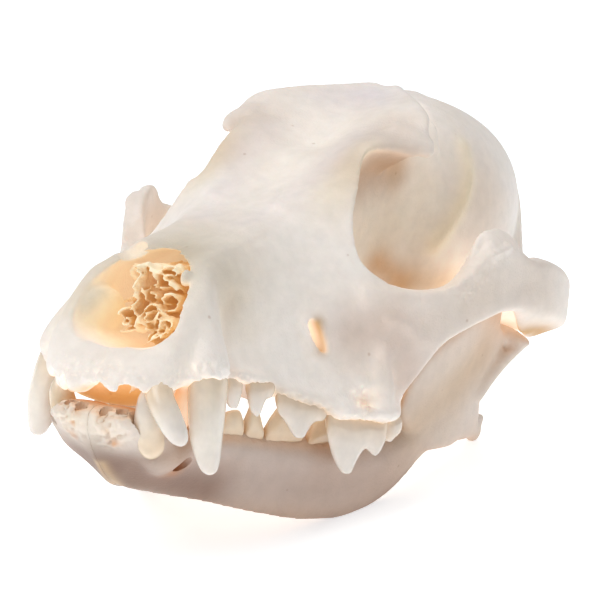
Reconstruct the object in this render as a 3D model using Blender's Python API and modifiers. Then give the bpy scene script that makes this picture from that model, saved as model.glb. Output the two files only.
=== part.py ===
"""Dog skull with its lower jaw, a still life-size model that rests on its mandible.

The skull is modelled in its own frame in millimetres: X to its left, Y backwards from the front of
the upper jaw, Z up, with the row of upper incisors at the origin. It is then tipped nose up, as it
rests on a table, and set on the floor.
"""

import math

import bmesh
import bpy
import numpy as np
from mathutils import Matrix, Vector

# Driving sizes, in millimetres and degrees
MM = 0.001
ARCH_HALF_WIDTH = 53.3
BRAIN_HALF_WIDTH = 26.3
BRAIN_WAIST_Z = 37.0
NOSE_UP_DEG = 13.365
FLOOR_Z = -45.1
MIDDLE_Y = 89.64
NODE_GAP = 0.3
FACE_BACK_Y = 79.0
ARCH_ROOT_X = 33.0

# Fineness of the modelled bone and the number of triangles each node keeps
VOXEL = 1.15
FACE_TRIANGLES = 3300
BRAIN_TRIANGLES = 2600
ARCH_TRIANGLES = 620
JAW_TRIANGLES = 1300


def profile(*knots):
    """A curve through (position, value) knots that never swings past them."""
    at, value = np.array(knots, float).T
    step = np.diff(at)
    slope = np.diff(value) / step
    tangent = np.zeros(len(at))
    tangent[0] = slope[0]
    tangent[-1] = slope[-1]
    for i in range(1, len(at) - 1):
        if slope[i - 1] * slope[i] > 0:
            tangent[i] = 2 * slope[i - 1] * slope[i] / (slope[i - 1] + slope[i])

    def read(position):
        i = int(np.clip(np.searchsorted(at, position) - 1, 0, len(step) - 1))
        t = float(np.clip((position - at[i]) / step[i], 0, 1))
        return (
            value[i] * (1 + 2 * t) * (1 - t) ** 2
            + value[i + 1] * t * t * (3 - 2 * t)
            + step[i] * (tangent[i] * t * (1 - t) ** 2 - tangent[i + 1] * t * t * (1 - t))
        )

    return read


def rounded_ring(corners, per_span=3):
    """A closed smooth curve through the corner points."""
    corners = np.array(corners, float)
    count = len(corners)
    ring = []
    for i in range(count):
        a, b, c, d = (corners[(i + k - 1) % count] for k in range(4))
        for t in np.arange(per_span) / per_span:
            ring.append(
                0.5
                * (
                    2 * b
                    + (c - a) * t
                    + (2 * a - 5 * b + 4 * c - d) * t * t
                    + (3 * b - a - 3 * c + d) * t ** 3
                )
            )
    return ring


def new_object(name, mesh):
    item = bpy.data.objects.new(name, mesh)
    bpy.context.scene.collection.objects.link(item)
    return item


def mesh_object(name, form):
    mesh = bpy.data.meshes.new(name)
    form.to_mesh(mesh)
    form.free()
    return new_object(name, mesh)


def loft(name, rings):
    """A closed skin over rings of equally many points, given in millimetres."""
    form = bmesh.new()
    rows = [[form.verts.new(Vector(point) * MM) for point in ring] for ring in rings]
    for row, following in zip(rows, rows[1:]):
        for i in range(len(row)):
            j = (i + 1) % len(row)
            form.faces.new((row[i], row[j], following[j], following[i]))
    form.faces.new(list(reversed(rows[0])))
    form.faces.new(rows[-1])
    bmesh.ops.recalc_face_normals(form, faces=form.faces)
    return mesh_object(name, form)


def path_through(points, count):
    """Points spread along a smooth open curve through the given rows of numbers."""
    points = np.array(points, float)
    reach = np.linspace(0, len(points) - 1, count)
    curves = [profile(*enumerate(column)) for column in points.T]
    return np.array([[curve(at) for curve in curves] for at in reach])


def sweep(name, stations, count, sides=10, across=(1, 0, 0)):
    """An oval rod along stations of (x, y, z, half size across, half size the other way)."""
    rows = path_through(stations, count)
    centre = rows[:, :3]
    rings = []
    for i, row in enumerate(rows):
        along = centre[min(i + 1, count - 1)] - centre[max(i - 1, 0)]
        along /= np.linalg.norm(along)
        side = np.array(across, float)
        side -= along * side.dot(along)
        side /= np.linalg.norm(side)
        other = np.cross(along, side)
        rings.append(
            [
                row[:3] + side * row[3] * math.cos(a) + other * row[4] * math.sin(a)
                for a in np.arange(sides) * 2 * math.pi / sides
            ]
        )
    return loft(name, rings)


def ellipsoid(name, centre, radii, tilt=(0, 0, 0), segments=24):
    form = bmesh.new()
    place = (
        Matrix.Translation(Vector(centre) * MM)
        @ Matrix.Rotation(math.radians(tilt[2]), 4, "Z")
        @ Matrix.Rotation(math.radians(tilt[1]), 4, "Y")
        @ Matrix.Rotation(math.radians(tilt[0]), 4, "X")
        @ Matrix.Diagonal((radii[0] * MM, radii[1] * MM, radii[2] * MM, 1))
    )
    bmesh.ops.create_uvsphere(form, u_segments=segments, v_segments=segments // 2, radius=1, matrix=place)
    return mesh_object(name, form)


def block(name, low, high):
    form = bmesh.new()
    centre = (Vector(low) + Vector(high)) / 2
    size = Vector(high) - Vector(low)
    place = Matrix.Translation(centre * MM) @ Matrix.Diagonal((size.x * MM, size.y * MM, size.z * MM, 1))
    bmesh.ops.create_cube(form, size=1, matrix=place)
    return mesh_object(name, form)


def discard(items):
    for item in items:
        mesh = item.data
        bpy.data.objects.remove(item)
        bpy.data.meshes.remove(mesh)


def apply_modifiers(item):
    """Keep the shape that the object's modifiers give it."""
    evaluated = item.evaluated_get(bpy.context.evaluated_depsgraph_get())
    mesh = bpy.data.meshes.new_from_object(evaluated)
    item.modifiers.clear()
    old = item.data
    item.data = mesh
    bpy.data.meshes.remove(old)


def join(name, items):
    form = bmesh.new()
    for item in items:
        form.from_mesh(item.data)
    discard(items)
    return mesh_object(name, form)


def remesh(item, voxel, passes):
    """Fuse overlapping solids into one skin and soften its creases."""
    grid = item.modifiers.new("Fuse", "REMESH")
    grid.mode = "VOXEL"
    grid.voxel_size = voxel * MM
    soften = item.modifiers.new("Soften", "SMOOTH")
    soften.factor = 0.5
    soften.iterations = passes
    apply_modifiers(item)


def boolean(item, others, operation):
    """Join or cut with a collection of closed solids, which are then gone."""
    group = bpy.data.collections.new("operands")
    for other in others:
        group.objects.link(other)
        bpy.context.scene.collection.objects.unlink(other)
    bpy.context.scene.collection.children.link(group)
    step = item.modifiers.new("Boolean", "BOOLEAN")
    step.operation = operation
    step.solver = "MANIFOLD"
    step.operand_type = "COLLECTION"
    step.collection = group
    apply_modifiers(item)
    discard(others)
    bpy.data.collections.remove(group)


def thin_out(item, triangles):
    form = bmesh.new()
    form.from_mesh(item.data)
    now = sum(len(face.verts) - 2 for face in form.faces)
    form.free()
    step = item.modifiers.new("Thin out", "DECIMATE")
    step.ratio = min(1.0, triangles / now)
    step.use_collapse_triangulate = True
    apply_modifiers(item)


def keep_largest(item):
    """Keep only the largest closed surface."""
    form = bmesh.new()
    form.from_mesh(item.data)
    unseen = set(form.verts)
    islands = []
    while unseen:
        heap = [unseen.pop()]
        island = set(heap)
        while heap:
            for edge in heap.pop().link_edges:
                for vert in edge.verts:
                    if vert in unseen:
                        unseen.discard(vert)
                        island.add(vert)
                        heap.append(vert)
        islands.append(island)
    islands.sort(key=len)
    loose = [vert for island in islands[:-1] for vert in island]
    bmesh.ops.delete(form, geom=loose, context="VERTS")
    form.to_mesh(item.data)
    form.free()


def read_points(item):
    """Vertex places and normals in millimetres."""
    mesh = item.data
    points = np.empty(len(mesh.vertices) * 3)
    mesh.vertices.foreach_get("co", points)
    normals = np.array([vert.normal for vert in mesh.vertices])
    return points.reshape(-1, 3) / MM, normals


def write_points(item, points):
    item.data.vertices.foreach_set("co", (points * MM).ravel())
    item.data.update()


def path_distance(points, path):
    """Distance of each point from a line of straight runs."""
    path = np.array(path, float)
    nearest = np.full(len(points), np.inf)
    for start, end in zip(path, path[1:] if len(path) > 1 else path):
        run = end - start
        length = max(run.dot(run), 1e-9)
        t = np.clip((points - start) @ run / length, 0, 1)
        gap = np.linalg.norm(points - start - t[:, None] * run, axis=1)
        nearest = np.minimum(nearest, gap)
    return nearest


def stroke(item, path, width, height, both_sides=True):
    """Raise (or with a negative height press) the bone along a path, on both sides of the skull."""
    points, normals = read_points(item)
    for side in (1, -1) if both_sides else (1,):
        reach = path_distance(points, np.array(path, float) * [side, 1, 1])
        points = points + normals * (height * np.exp(-((reach / width) ** 2)))[:, None]
    write_points(item, points)


# Lines of the cranium along Y
roof_z = profile(
    (-1, 1.0), (3.7, 7.0), (10, 13.4), (16.5, 20.0), (23.2, 26.4), (31, 28.7), (38, 30.8),
    (46, 33.3), (55, 36.5), (63, 39.8), (71, 43.3), (80, 47.4), (88, 51.8), (97, 57.0), (106, 61.2),
    (112, 63.4), (119, 65.0), (128, 64.8), (140, 63.7), (150, 61.9), (160, 58.8), (167, 55.2),
    (172, 50.5),
)
shoulder_x = profile(
    (-1, 4.0), (4, 9.8), (11, 12.7), (16.5, 12.6), (23, 10.9), (31, 10.0), (38, 9.9), (46, 10.8),
    (55, 13.2), (60, 16.4), (64, 19.4), (68, 21.4),
)
shoulder_z = profile(
    (-1, 0.6), (4, 7.4), (11, 16.6), (16.5, 21.2), (23, 25.7), (31, 28.3), (38, 30.0), (46, 31.9),
    (55, 33.9), (60, 35.0), (64, 37.0), (68, 40.5),
)
cheek_x = profile(
    (-1, 6.0), (4, 13.6), (10, 16.0), (16, 16.6), (22, 15.9), (29, 15.8), (38, 17.8), (46, 20.8),
    (52, 23.6), (57, 26.0), (62, 28.3), (68, 31.0),
)
cheek_z = profile(
    (-1, 0.0), (4, 4.0), (10, 9.0), (16, 12.0), (29, 14.0), (46, 15.5), (57, 19.5), (62, 22.5),
    (68, 25.0),
)
margin_x = profile(
    (-1, 6.5), (1, 10.0), (5, 14.2), (10, 17.0), (15, 19.0), (20, 18.6), (26, 18.0), (34, 19.4),
    (40, 23.0), (46, 25.8), (52, 28.8), (58, 31.4), (64, 34.5), (68, 36.0),
)
margin_z = profile(
    (-1, -0.5), (5, 0.4), (15, 2.6), (21, 1.6), (26, 0.4), (34, -0.8), (40, -2.6), (46, -4.4),
    (56, -6.4), (64, -7.4), (68, -8.0),
)
palate_z = profile(
    (-1, -0.5), (4, 0.8), (12, 2.2), (26, 2.6), (40, 0.8), (55, -1.4), (70, -3.0), (82, -3.6),
)

# Lines of the frontal shield, from the nose's root to the vertex
brow_x = profile(
    (56, 12.6), (64, 19.2), (69, 21.6), (73, 21.2), (76.5, 20.2), (80, 20.6), (85, 22.6),
    (89, 25.3), (92, 25.6), (96, 24.0), (101, 20.0), (106, 15.6), (111, 11.2), (116, 6.6),
    (121, 3.2),
)
brow_z = profile(
    (56, 33.5), (64, 37.6), (69, 41.6), (73, 46.8), (76.5, 50.2), (80, 51.3), (85, 52.2),
    (89, 52.0), (92, 54.4), (96, 58.2), (101, 60.0), (106, 61.4), (111, 62.4), (116, 63.4),
    (121, 64.0),
)
dome_rise = profile(
    (56, 0.4), (66, 1.6), (76, 4.6), (84, 6.2), (92, 6.0), (100, 3.8), (110, 1.0), (121, 0.0),
)

# Lines of the braincase
brain_x = profile(
    (92, 14.0), (98, 16.0), (104, 17.6), (109, 20.4), (114, 22.8), (120, 24.7), (127, 26.0),
    (134, BRAIN_HALF_WIDTH), (140, 26.0), (146, 25.1), (152, 23.5), (158, 21.0), (163, 18.2),
    (168, 14.2), (171, 10.5),
)
brain_base_z = profile(
    (92, 12.0), (104, 9.6), (130, 9.0), (150, 9.6), (158, 11.5), (165, 17.0), (171, 30.0),
)
brain_top_z = profile(
    (92, 51.0), (98, 54.0), (106, 58.6), (112, 61.2), (119, 63.4), (128, 63.8), (140, 62.6),
    (150, 60.6), (160, 57.0), (167, 52.8), (171, 47.0),
)

# Lines of the narrow wall between the orbits
wall_x = profile(
    (50, 15.0), (64, 16.5), (74, 15.6), (86, 15.2), (96, 16.0), (104, 17.6), (112, 20.0),
)
wall_low_x = profile(
    (50, 17.0), (64, 18.0), (74, 13.5), (86, 11.0), (96, 10.5), (104, 12.0), (112, 15.0),
)
wall_base_z = profile(
    (50, 4.0), (64, 4.0), (76, 8.0), (90, 10.0), (112, 9.5),
)


def face_ring(y):
    """Section of the muzzle: roof, shoulders, cheeks, tooth rows and palate."""
    half = [
        (shoulder_x(y) * 0.5, (roof_z(y) + shoulder_z(y)) / 2 + 0.5),
        (shoulder_x(y), shoulder_z(y)),
        ((shoulder_x(y) + cheek_x(y)) / 2 + 0.6, (shoulder_z(y) + cheek_z(y)) / 2 + 0.6),
        (cheek_x(y), cheek_z(y)),
        ((margin_x(y) + cheek_x(y)) / 2, (margin_z(y) + cheek_z(y)) / 2),
        (margin_x(y), margin_z(y) + 1.4),
        (margin_x(y) - 1.8, margin_z(y) - 0.3),
        (max(margin_x(y) - 8.0, margin_x(y) * 0.5), palate_z(y) * 0.4 + margin_z(y) * 0.6),
        (max(margin_x(y) - 11.0, margin_x(y) * 0.35), palate_z(y)),
    ]
    corners = [(0, roof_z(y))] + half + [(0, palate_z(y))] + [(-x, z) for x, z in reversed(half)]
    return [(x, y, z) for x, z in rounded_ring(corners, 2)]


def shield_ring(y):
    """Section of the frontal shield: two low domes beside a median groove, over the rim of each orbit."""
    half = [
        (brow_x(y) * 0.35, roof_z(y) + dome_rise(y) * 0.45),
        (brow_x(y) * 0.68, max(roof_z(y), brow_z(y)) * 0.5 + (roof_z(y) + dome_rise(y)) * 0.5 + 0.6),
        (brow_x(y) * 0.9, brow_z(y) + 2.2 - abs(y - 89) * 0.02),
        (brow_x(y), brow_z(y)),
        (brow_x(y) * 0.9, brow_z(y) - 2.6),
        (brow_x(y) * 0.6, brow_z(y) - 7.0),
    ]
    corners = [(0, roof_z(y))] + half + [(0, roof_z(y) - 12)] + [(-x, z) for x, z in reversed(half)]
    return [(x, y, z) for x, z in rounded_ring(corners, 2)]


def brain_ring(y, sides=28, squareness=2.12):
    """Section of the braincase, a little squarer than an ellipse."""
    top = brain_top_z(y)
    base = brain_base_z(y)
    waist = min(BRAIN_WAIST_Z, (top + base) / 2 + 2)
    ring = []
    for a in np.arange(sides) * 2 * math.pi / sides:
        across = math.copysign(abs(math.cos(a)) ** (2 / squareness), math.cos(a))
        up = math.copysign(abs(math.sin(a)) ** (2 / squareness), math.sin(a))
        ring.append((brain_x(y) * across, y, waist + up * (top - waist if up > 0 else waist - base)))
    return ring


def wall_ring(y):
    """Section of the wall between the orbits and of the skull's base in front of the braincase."""
    top = brow_z(max(y, 56)) - 2
    half = [
        (wall_x(y) * 0.7, top),
        (wall_x(y), top - 8),
        ((wall_x(y) + wall_low_x(y)) / 2, 27),
        (wall_low_x(y), 17),
        (wall_low_x(y) * 0.7, wall_base_z(y) + 1),
    ]
    corners = [(0, top)] + half + [(0, wall_base_z(y))] + [(-x, z) for x, z in reversed(half)]
    return [(x, y, z) for x, z in rounded_ring(corners, 2)]


# Upper edge of the left and the right cheek arch along Y
arch_top_z = {
    1: profile(
        (60, 23.6), (69, 22.6), (74.8, 24.6), (78.4, 30.6), (81.6, 36.2), (86, 37.6), (89.6, 36.4),
        (92.6, 33.6), (97, 31.0), (102, 29.8), (106, 30.2), (112.5, 29.2), (117.5, 27.4), (122.2, 25.2),
        (126, 23.0), (130, 21.4),
    ),
    -1: profile(
        (60, 23.6), (69, 22.6), (74.8, 24.4), (79, 30.0), (84, 33.4), (92, 34.6), (98, 34.2), (101.4, 31.4),
        (106, 30.2), (112.5, 29.2), (117.5, 27.4), (122.2, 25.2), (126, 23.0), (130, 21.4),
    ),
}
# Zygomatic arch: outer x, y, lower edge z, thickness
ARCH_STATIONS = (
    (29.0, 60.0, 0.0, 11.0),
    (33.0, 64.4, -4.6, 10.0),
    (36.8, 69.0, -3.0, 8.6),
    (41.4, 74.8, 4.6, 6.6),
    (44.8, 80.0, 8.8, 5.0),
    (46.8, 83.4, 11.6, 4.4),
    (48.0, 86.2, 14.0, 4.0),
    (49.0, 89.2, 15.8, 3.9),
    (50.0, 92.6, 17.2, 3.9),
    (51.1, 96.6, 18.2, 4.0),
    (52.0, 101.0, 18.2, 4.0),
    (52.8, 106.0, 17.4, 3.9),
    (ARCH_HALF_WIDTH, 112.5, 15.2, 3.9),
    (53.2, 117.5, 13.0, 4.2),
    (51.8, 122.2, 12.0, 4.8),
    (48.4, 126.0, 11.4, 5.6),
    (43.0, 128.6, 12.4, 7.0),
    (36.0, 129.8, 12.6, 8.6),
    (26.0, 130.0, 13.0, 10.0),
)


def arch(side):
    """The cheek arch, a tall curved plate from the molars to the temporal bone."""
    rows = path_through(ARCH_STATIONS, 64)
    rings = []
    for i, (x, y, low, thick) in enumerate(rows):
        high = arch_top_z[side](y)
        along = rows[min(i + 1, len(rows) - 1), :2] - rows[max(i - 1, 0), :2]
        along /= np.linalg.norm(along)
        inward = np.array([-along[1], along[0]])
        centre = np.array([x, y]) + inward * thick / 2
        ring = []
        for a in np.arange(12) * math.pi / 6:
            across = math.copysign(abs(math.cos(a)) ** 0.7, math.cos(a)) * thick / 2
            up = math.copysign(abs(math.sin(a)) ** 0.8, math.sin(a)) * (high - low) / 2
            place = centre + inward * across
            ring.append((place[0] * side, place[1], (high + low) / 2 + up))
        rings.append(ring)
    return loft("arch", rings)


def both_sides(make):
    return [make(side) for side in (1, -1)]


# Swept pieces of the left side: rows of x, y, z and the half size each way
MOLAR_SHELF = (
    (25.0, 58.0, 2.0, 6.0, 5.0),
    (27.5, 65.0, 0.0, 8.0, 7.4),
    (27.5, 71.0, 0.4, 8.0, 7.0),
    (27.0, 77.0, 1.6, 7.0, 6.0),
    (26.4, 82.0, 3.0, 3.4, 3.4),
)
POSTORBITAL = (
    (17.0, 91.0, 54.0, 4.0, 5.4),
    (22.0, 91.4, 53.4, 3.0, 4.6),
    (25.2, 92.0, 50.6, 2.4, 3.2),
    (26.8, 91.6, 47.4, 1.6, 2.0),
    (27.0, 91.2, 45.8, 0.9, 1.2),
)
POSTGLENOID = (
    (33.0, 128.0, 16.0, 6.5, 3.0),
    (32.5, 128.2, 11.0, 5.4, 2.2),
    (32.0, 127.4, 6.6, 2.6, 1.2),
)
PAROCCIPITAL = (
    (20.0, 157.0, 16.0, 4.5, 4.0),
    (20.5, 158.5, 8.0, 3.4, 2.6),
    (20.0, 157.5, 0.5, 1.6, 1.4),
)
NUCHAL_CREST = (
    (-1.0, 170.6, 50.4, 2.6, 3.2),
    (8.0, 168.8, 48.4, 2.2, 3.2),
    (15.4, 163.6, 41.0, 2.0, 3.2),
    (20.6, 157.0, 31.0, 2.0, 3.2),
    (24.4, 152.0, 20.0, 2.2, 3.2),
)
SAGITTAL_CREST = (
    (0.0, 120.0, 62.6, 1.8, 1.4),
    (0.0, 132.0, 62.6, 1.5, 1.8),
    (0.0, 146.0, 60.2, 1.4, 2.4),
    (0.0, 158.0, 56.4, 1.5, 3.0),
    (0.0, 168.0, 51.5, 2.0, 3.2),
)
PTERYGOID = (
    (10.5, 74.0, 4.0, 2.6, 7.5),
    (9.6, 84.0, 4.5, 1.6, 8.0),
    (9.2, 94.0, 5.5, 1.5, 7.5),
    (9.4, 102.0, 6.5, 1.5, 6.0),
)
CHOANA = (
    (0.0, 72.0, 5.5, 6.4, 3.4),
    (0.0, 86.0, 4.5, 7.2, 5.4),
    (0.0, 104.0, 2.0, 7.4, 6.6),
)
JAW_CONDYLE = (
    (27.6, 122.2, 9.6, 1.5, 1.5),
    (30.0, 121.8, 9.8, 2.8, 2.9),
    (36.0, 121.0, 9.8, 3.0, 3.2),
    (41.0, 120.6, 9.4, 2.0, 2.2),
    (44.0, 120.8, 9.2, 0.7, 0.8),
)
CONDYLE_NECK = (
    (42.2, 120.6, 8.4, 1.0, 0.9),
    (39.4, 118.4, 5.4, 1.5, 1.9),
    (37.0, 115.6, 1.4, 1.9, 2.4),
    (35.0, 112.0, -4.0, 2.0, 2.8),
)
JAW_ANGLE = (
    (32.5, 104.0, -9.6, 3.0, 5.0),
    (32.0, 113.0, -12.2, 2.7, 4.0),
    (31.0, 120.6, -13.8, 2.4, 3.0),
    (30.2, 125.4, -14.4, 2.2, 2.6),
    (29.6, 128.0, -15.2, 1.2, 1.8),
)


def swept_pair(name, rows, count, sides=10, across=(1, 0, 0)):
    """A swept piece on the left side and its mirror on the right."""
    return both_sides(lambda side: sweep(name, mirrored(rows, side), count, sides, across))


def mirrored(rows, side):
    return [(row[0] * side, *row[1:]) for row in rows]


def cranium_solids():
    """Overlapping solids that make up the skull without its lower jaw."""
    face = loft("face", [face_ring(y) for y in np.arange(-1, 68.1, 3.0)])
    shield = loft("shield", [shield_ring(y) for y in np.linspace(56, 121, 30)])
    brain = loft("brain", [brain_ring(y) for y in np.linspace(92, 171, 30)])
    wall = loft("wall", [wall_ring(y) for y in np.linspace(50, 112, 18)])
    items = [face, shield, brain, wall]
    items += both_sides(arch)
    # bone that carries the last upper teeth, behind the face
    items += swept_pair("molar shelf", MOLAR_SHELF, 10, 14)
    items += swept_pair("postorbital", POSTORBITAL, 7, 10, (0, 0, 1))
    # tympanic bulla and the pit of the jaw joint with the ridge behind it
    items += both_sides(
        lambda side: ellipsoid("bulla", (side * 15, 142, 8), (8.6, 12, 8.6), (0, 0, side * -12))
    )
    items += both_sides(lambda side: ellipsoid("joint roof", (side * 34, 122.5, 17.2), (11, 8, 4)))
    items += swept_pair("postglenoid", POSTGLENOID, 6)
    # mastoid, paroccipital process and the crests of the back and the top
    items += both_sides(lambda side: ellipsoid("mastoid", (side * 22, 150.5, 19), (6, 7.5, 8.5)))
    items += swept_pair("paroccipital", PAROCCIPITAL, 6)
    items += swept_pair("nuchal crest", NUCHAL_CREST, 12, 10, (0, 1, 0))
    items.append(sweep("sagittal crest", SAGITTAL_CREST, 12))
    # occipital condyles beside the foramen magnum, and the plates behind the palate
    items += both_sides(
        lambda side: ellipsoid("condyle", (side * 10, 167, 15), (5.2, 7, 8), (0, side * 18, 0))
    )
    items.append(ellipsoid("skull base", (0, 157, 14), (11, 15, 5)))
    items += swept_pair("pterygoid", PTERYGOID, 10)
    return items


# Nasal cavity: x, y, z, half width and half height, from before its mouth to its end
NOSE_STATIONS = (
    (0, -6, 22, 13, 12),
    (0, 6, 18.4, 12.4, 11.2),
    (0, 12, 16.8, 11.6, 10),
    (0, 20, 16.6, 11.2, 9.6),
    (0, 30, 17.0, 11.2, 9.6),
    (0, 42, 18, 11, 9.5),
    (0, 52, 19, 8, 7.5),
)
# Scrolls of the nose: x, front y, z and half size
SCROLLS = ((5.0, 25.0, 11.0, 3.4), (5.4, 23.0, 17.4, 3.6), (4.4, 27.0, 23.0, 3.2))
WALL_CLEARANCE = 0.9


# Rim of the left orbit, from the postorbital process forwards, down, and back up the cheekbone, then
# across the open back
ORBIT_RIM = (
    (26.8, 90.6, 47.6), (24.4, 88.0, 50.2), (22.2, 84.6, 51.2), (20.6, 80.8, 50.8), (19.8, 77.2, 49.4),
    (20.2, 73.8, 46.2), (21.4, 71.0, 41.8), (22.4, 68.4, 36.6), (24.0, 66.0, 31.6), (26.6, 64.2, 27.4),
    (30.4, 65.6, 24.0), (35.0, 68.8, 22.2), (39.6, 72.2, 22.2), (43.2, 76.0, 24.0), (45.2, 79.6, 29.0),
    (46.4, 83.0, 37.5), (44.0, 91.0, 43.5), (35.0, 93.0, 48.0),
)
# Steps of the hollow from outside the rim to its apex: shift in x, y, z and size
ORBIT_STEPS = (
    ((11.0, -8.0, 8.0), 1.1),
    ((0.0, 0.0, 0.0), 1.0),
    ((-2.6, 3.6, -0.8), 0.97),
    ((-6.4, 8.4, -2.4), 0.8),
    ((-10.0, 13.0, -4.0), 0.5),
    ((-12.0, 15.6, -5.0), 0.2),
)


def orbit_hollow(side):
    """The eye socket, a funnel that narrows inwards from its rim."""
    rim = np.array(rounded_ring(ORBIT_RIM, 2))
    middle = rim.mean(axis=0)
    rings = [(middle + (rim - middle) * size + np.array(shift)) * [side, 1, 1] for shift, size in ORBIT_STEPS]
    return loft("orbit", rings)


def cranium_cutters():
    """Hollows of the cranium."""
    items = [sweep("nasal cavity", NOSE_STATIONS, 16, 24)]
    items += both_sides(orbit_hollow)
    items += both_sides(
        lambda side: ellipsoid("infraorbital", (side * 23.6, 50.8, 11.2), (1.5, 4.0, 3.9), (0, 0, side * 12))
    )
    items += both_sides(lambda side: ellipsoid("ear opening", (side * 25, 141, 15), (7, 2.6, 2.6)))
    items.append(ellipsoid("foramen magnum", (0, 172, 21.5), (7.4, 10, 6.8)))
    # passage behind the palate
    items.append(sweep("choana", CHOANA, 8, 16))
    return items


def cranium():
    """The whole cranium as one fine skin, before it is thinned and parted."""
    item = join("cranium", cranium_solids())
    remesh(item, VOXEL, 5)
    boolean(item, cranium_cutters(), "DIFFERENCE")
    remesh(item, VOXEL, 3)
    return item


# Body of the lower jaw along Y: the floor of its outline and the row of sockets on top
jaw_low_z = profile(
    (1.6, -9.4), (4, -13.6), (6, -15.8), (8, -17.8), (11, -20.4), (16, -22.8), (24, -24.4),
    (33, -25.9), (47, -28.7), (60, -30.5), (68, -30.6), (76, -29.0), (84, -25.8), (90, -22.0),
    (96, -16.8), (103, -14.2),
)
jaw_top_z = profile(
    (1.6, -6.4), (4, -4.8), (7, -5.2), (11, -7.4), (15, -9.6), (31, -9.4), (43, -11.2), (56, -12.4),
    (66, -12.4), (74, -11.4), (82, -8.8), (90, -5.0), (103, -1.0),
)
jaw_outer_top_x = profile(
    (1.6, 8.0), (4, 11.6), (7, 13.4), (12, 14.8), (18, 14.6), (24, 14.8), (32, 16.8), (40, 19.2),
    (48, 22.0), (56, 25.0), (64, 28.2), (72, 31.0), (80, 33.4), (88, 34.8), (96, 35.8), (103, 36.4),
)
jaw_outer_low_x = profile(
    (1.6, 2.0), (5, 3.0), (9, 3.6), (14, 6.2), (20, 9.0), (32, 13.2), (48, 19.8), (64, 25.8),
    (80, 29.6), (90, 31.2), (96, 32.8), (103, 34.6),
)
jaw_inner_x = profile(
    (1.6, -3.0), (20, -2.0), (23, 0.6), (26, 3.6), (32, 7.4), (40, 10.8), (48, 13.8), (56, 16.6),
    (64, 19.4), (72, 22.6), (80, 25.8), (88, 28.6), (96, 30.6), (103, 32.0),
)
# Ramus: z, front y, back y, middle x, thickness
RAMUS_STATIONS = (
    (-15.6, 88.0, 107.0, 32.0, 4.6),
    (-11.0, 82.0, 120.6, 32.6, 5.4),
    (-5.0, 78.0, 117.4, 34.0, 5.2),
    (1.0, 79.6, 116.6, 35.4, 5.0),
    (6.0, 83.6, 119.4, 36.6, 4.8),
    (10.0, 88.0, 121.4, 37.6, 4.4),
    (13.0, 91.6, 114.6, 38.4, 4.0),
    (18.0, 97.0, 112.4, 39.2, 3.6),
    (23.0, 101.4, 111.6, 39.8, 3.0),
    (27.0, 104.8, 110.2, 40.2, 2.4),
)
JAW_SHIFT_X = -1.4
JAW_SHIFT_END_Y = 70.0


def jaw_body(side):
    rings = []
    for y in np.arange(1.6, 103.1, 2.9):
        top = jaw_top_z(y)
        low = jaw_low_z(y)
        tall = top - low
        inner = jaw_inner_x(y)
        outer = jaw_outer_top_x(y)
        outer_low = jaw_outer_low_x(y)
        corners = [
            (inner + (outer - inner) * 0.3, top),
            (inner + (outer - inner) * 0.8, top - 0.06 * tall),
            (outer, top - 0.28 * tall),
            (outer * 0.6 + outer_low * 0.4, top - 0.56 * tall),
            (outer_low, low + 0.16 * tall),
            (inner * 0.55 + outer_low * 0.45, low),
            (inner + 0.4, low + 0.2 * tall),
            (inner, low + 0.6 * tall),
            (inner + 0.2, top - 0.1 * tall),
        ]
        rings.append([(x * side, y, z) for x, z in rounded_ring(corners, 2)])
    return loft("jaw body", rings)


def jaw_ramus(side):
    rows = path_through(RAMUS_STATIONS, 24)
    rings = []
    for z, front, back, middle, thick in rows:
        ring = []
        for a in np.arange(16) * math.pi / 8:
            across = math.copysign(abs(math.sin(a)) ** 0.8, math.sin(a)) * thick / 2
            along = math.copysign(abs(math.cos(a)) ** 0.85, math.cos(a)) * (back - front) / 2
            ring.append(((middle + across) * side, (front + back) / 2 + along, z))
        rings.append(ring)
    return loft("ramus", rings)


def shift_jaw(item):
    """The front of the jaw lies a little to the skull's right, and the halves keep a narrow joint."""
    points, _ = read_points(item)
    points[:, 0] += JAW_SHIFT_X * np.clip(1 - points[:, 1] / JAW_SHIFT_END_Y, 0, 1)
    write_points(item, points)


# Share of a fang's width along its crown
FANG_TAPER = ((0.0, 1.0), (0.33, 0.88), (0.66, 0.64), (0.9, 0.42), (1.0, 0.16))


def jaw(side):
    """One half of the lower jaw, as one fine skin."""
    items = [jaw_body(side), jaw_ramus(side)]
    items.append(sweep("jaw condyle", mirrored(JAW_CONDYLE, side), 12, 12, (0, 0, 1)))
    items.append(sweep("condyle neck", mirrored(CONDYLE_NECK, side), 9, 10))
    items.append(sweep("jaw angle", mirrored(JAW_ANGLE, side), 12, 10))
    item = join("jaw", items)
    remesh(item, VOXEL, 4)
    joint_face = NODE_GAP / 2
    inner, outer = sorted((side * joint_face, side * 60))
    boolean(item, [block("half", (inner, 0, -40), (outer, 140, 40))], "INTERSECT")
    return item


def tooth_cone(name, root, base, tip, half, bow=(0, 0, 0), sides=10):
    """A curved fang: an oval rod that keeps its width at the neck and ends in a blunt tip."""
    root, base, tip, bow = (np.array(point, float) for point in (root, base, tip, bow))
    stations = [(*root, half[0] * 0.7, half[1] * 0.7)]
    for t, size in FANG_TAPER:
        place = base + (tip - base) * t + bow * 4 * t * (1 - t)
        stations.append((*place, half[0] * size, half[1] * (size * 0.85 + 0.15 * size * size)))
    return sweep(name, stations, 2 * len(stations) - 1, sides)


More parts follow.
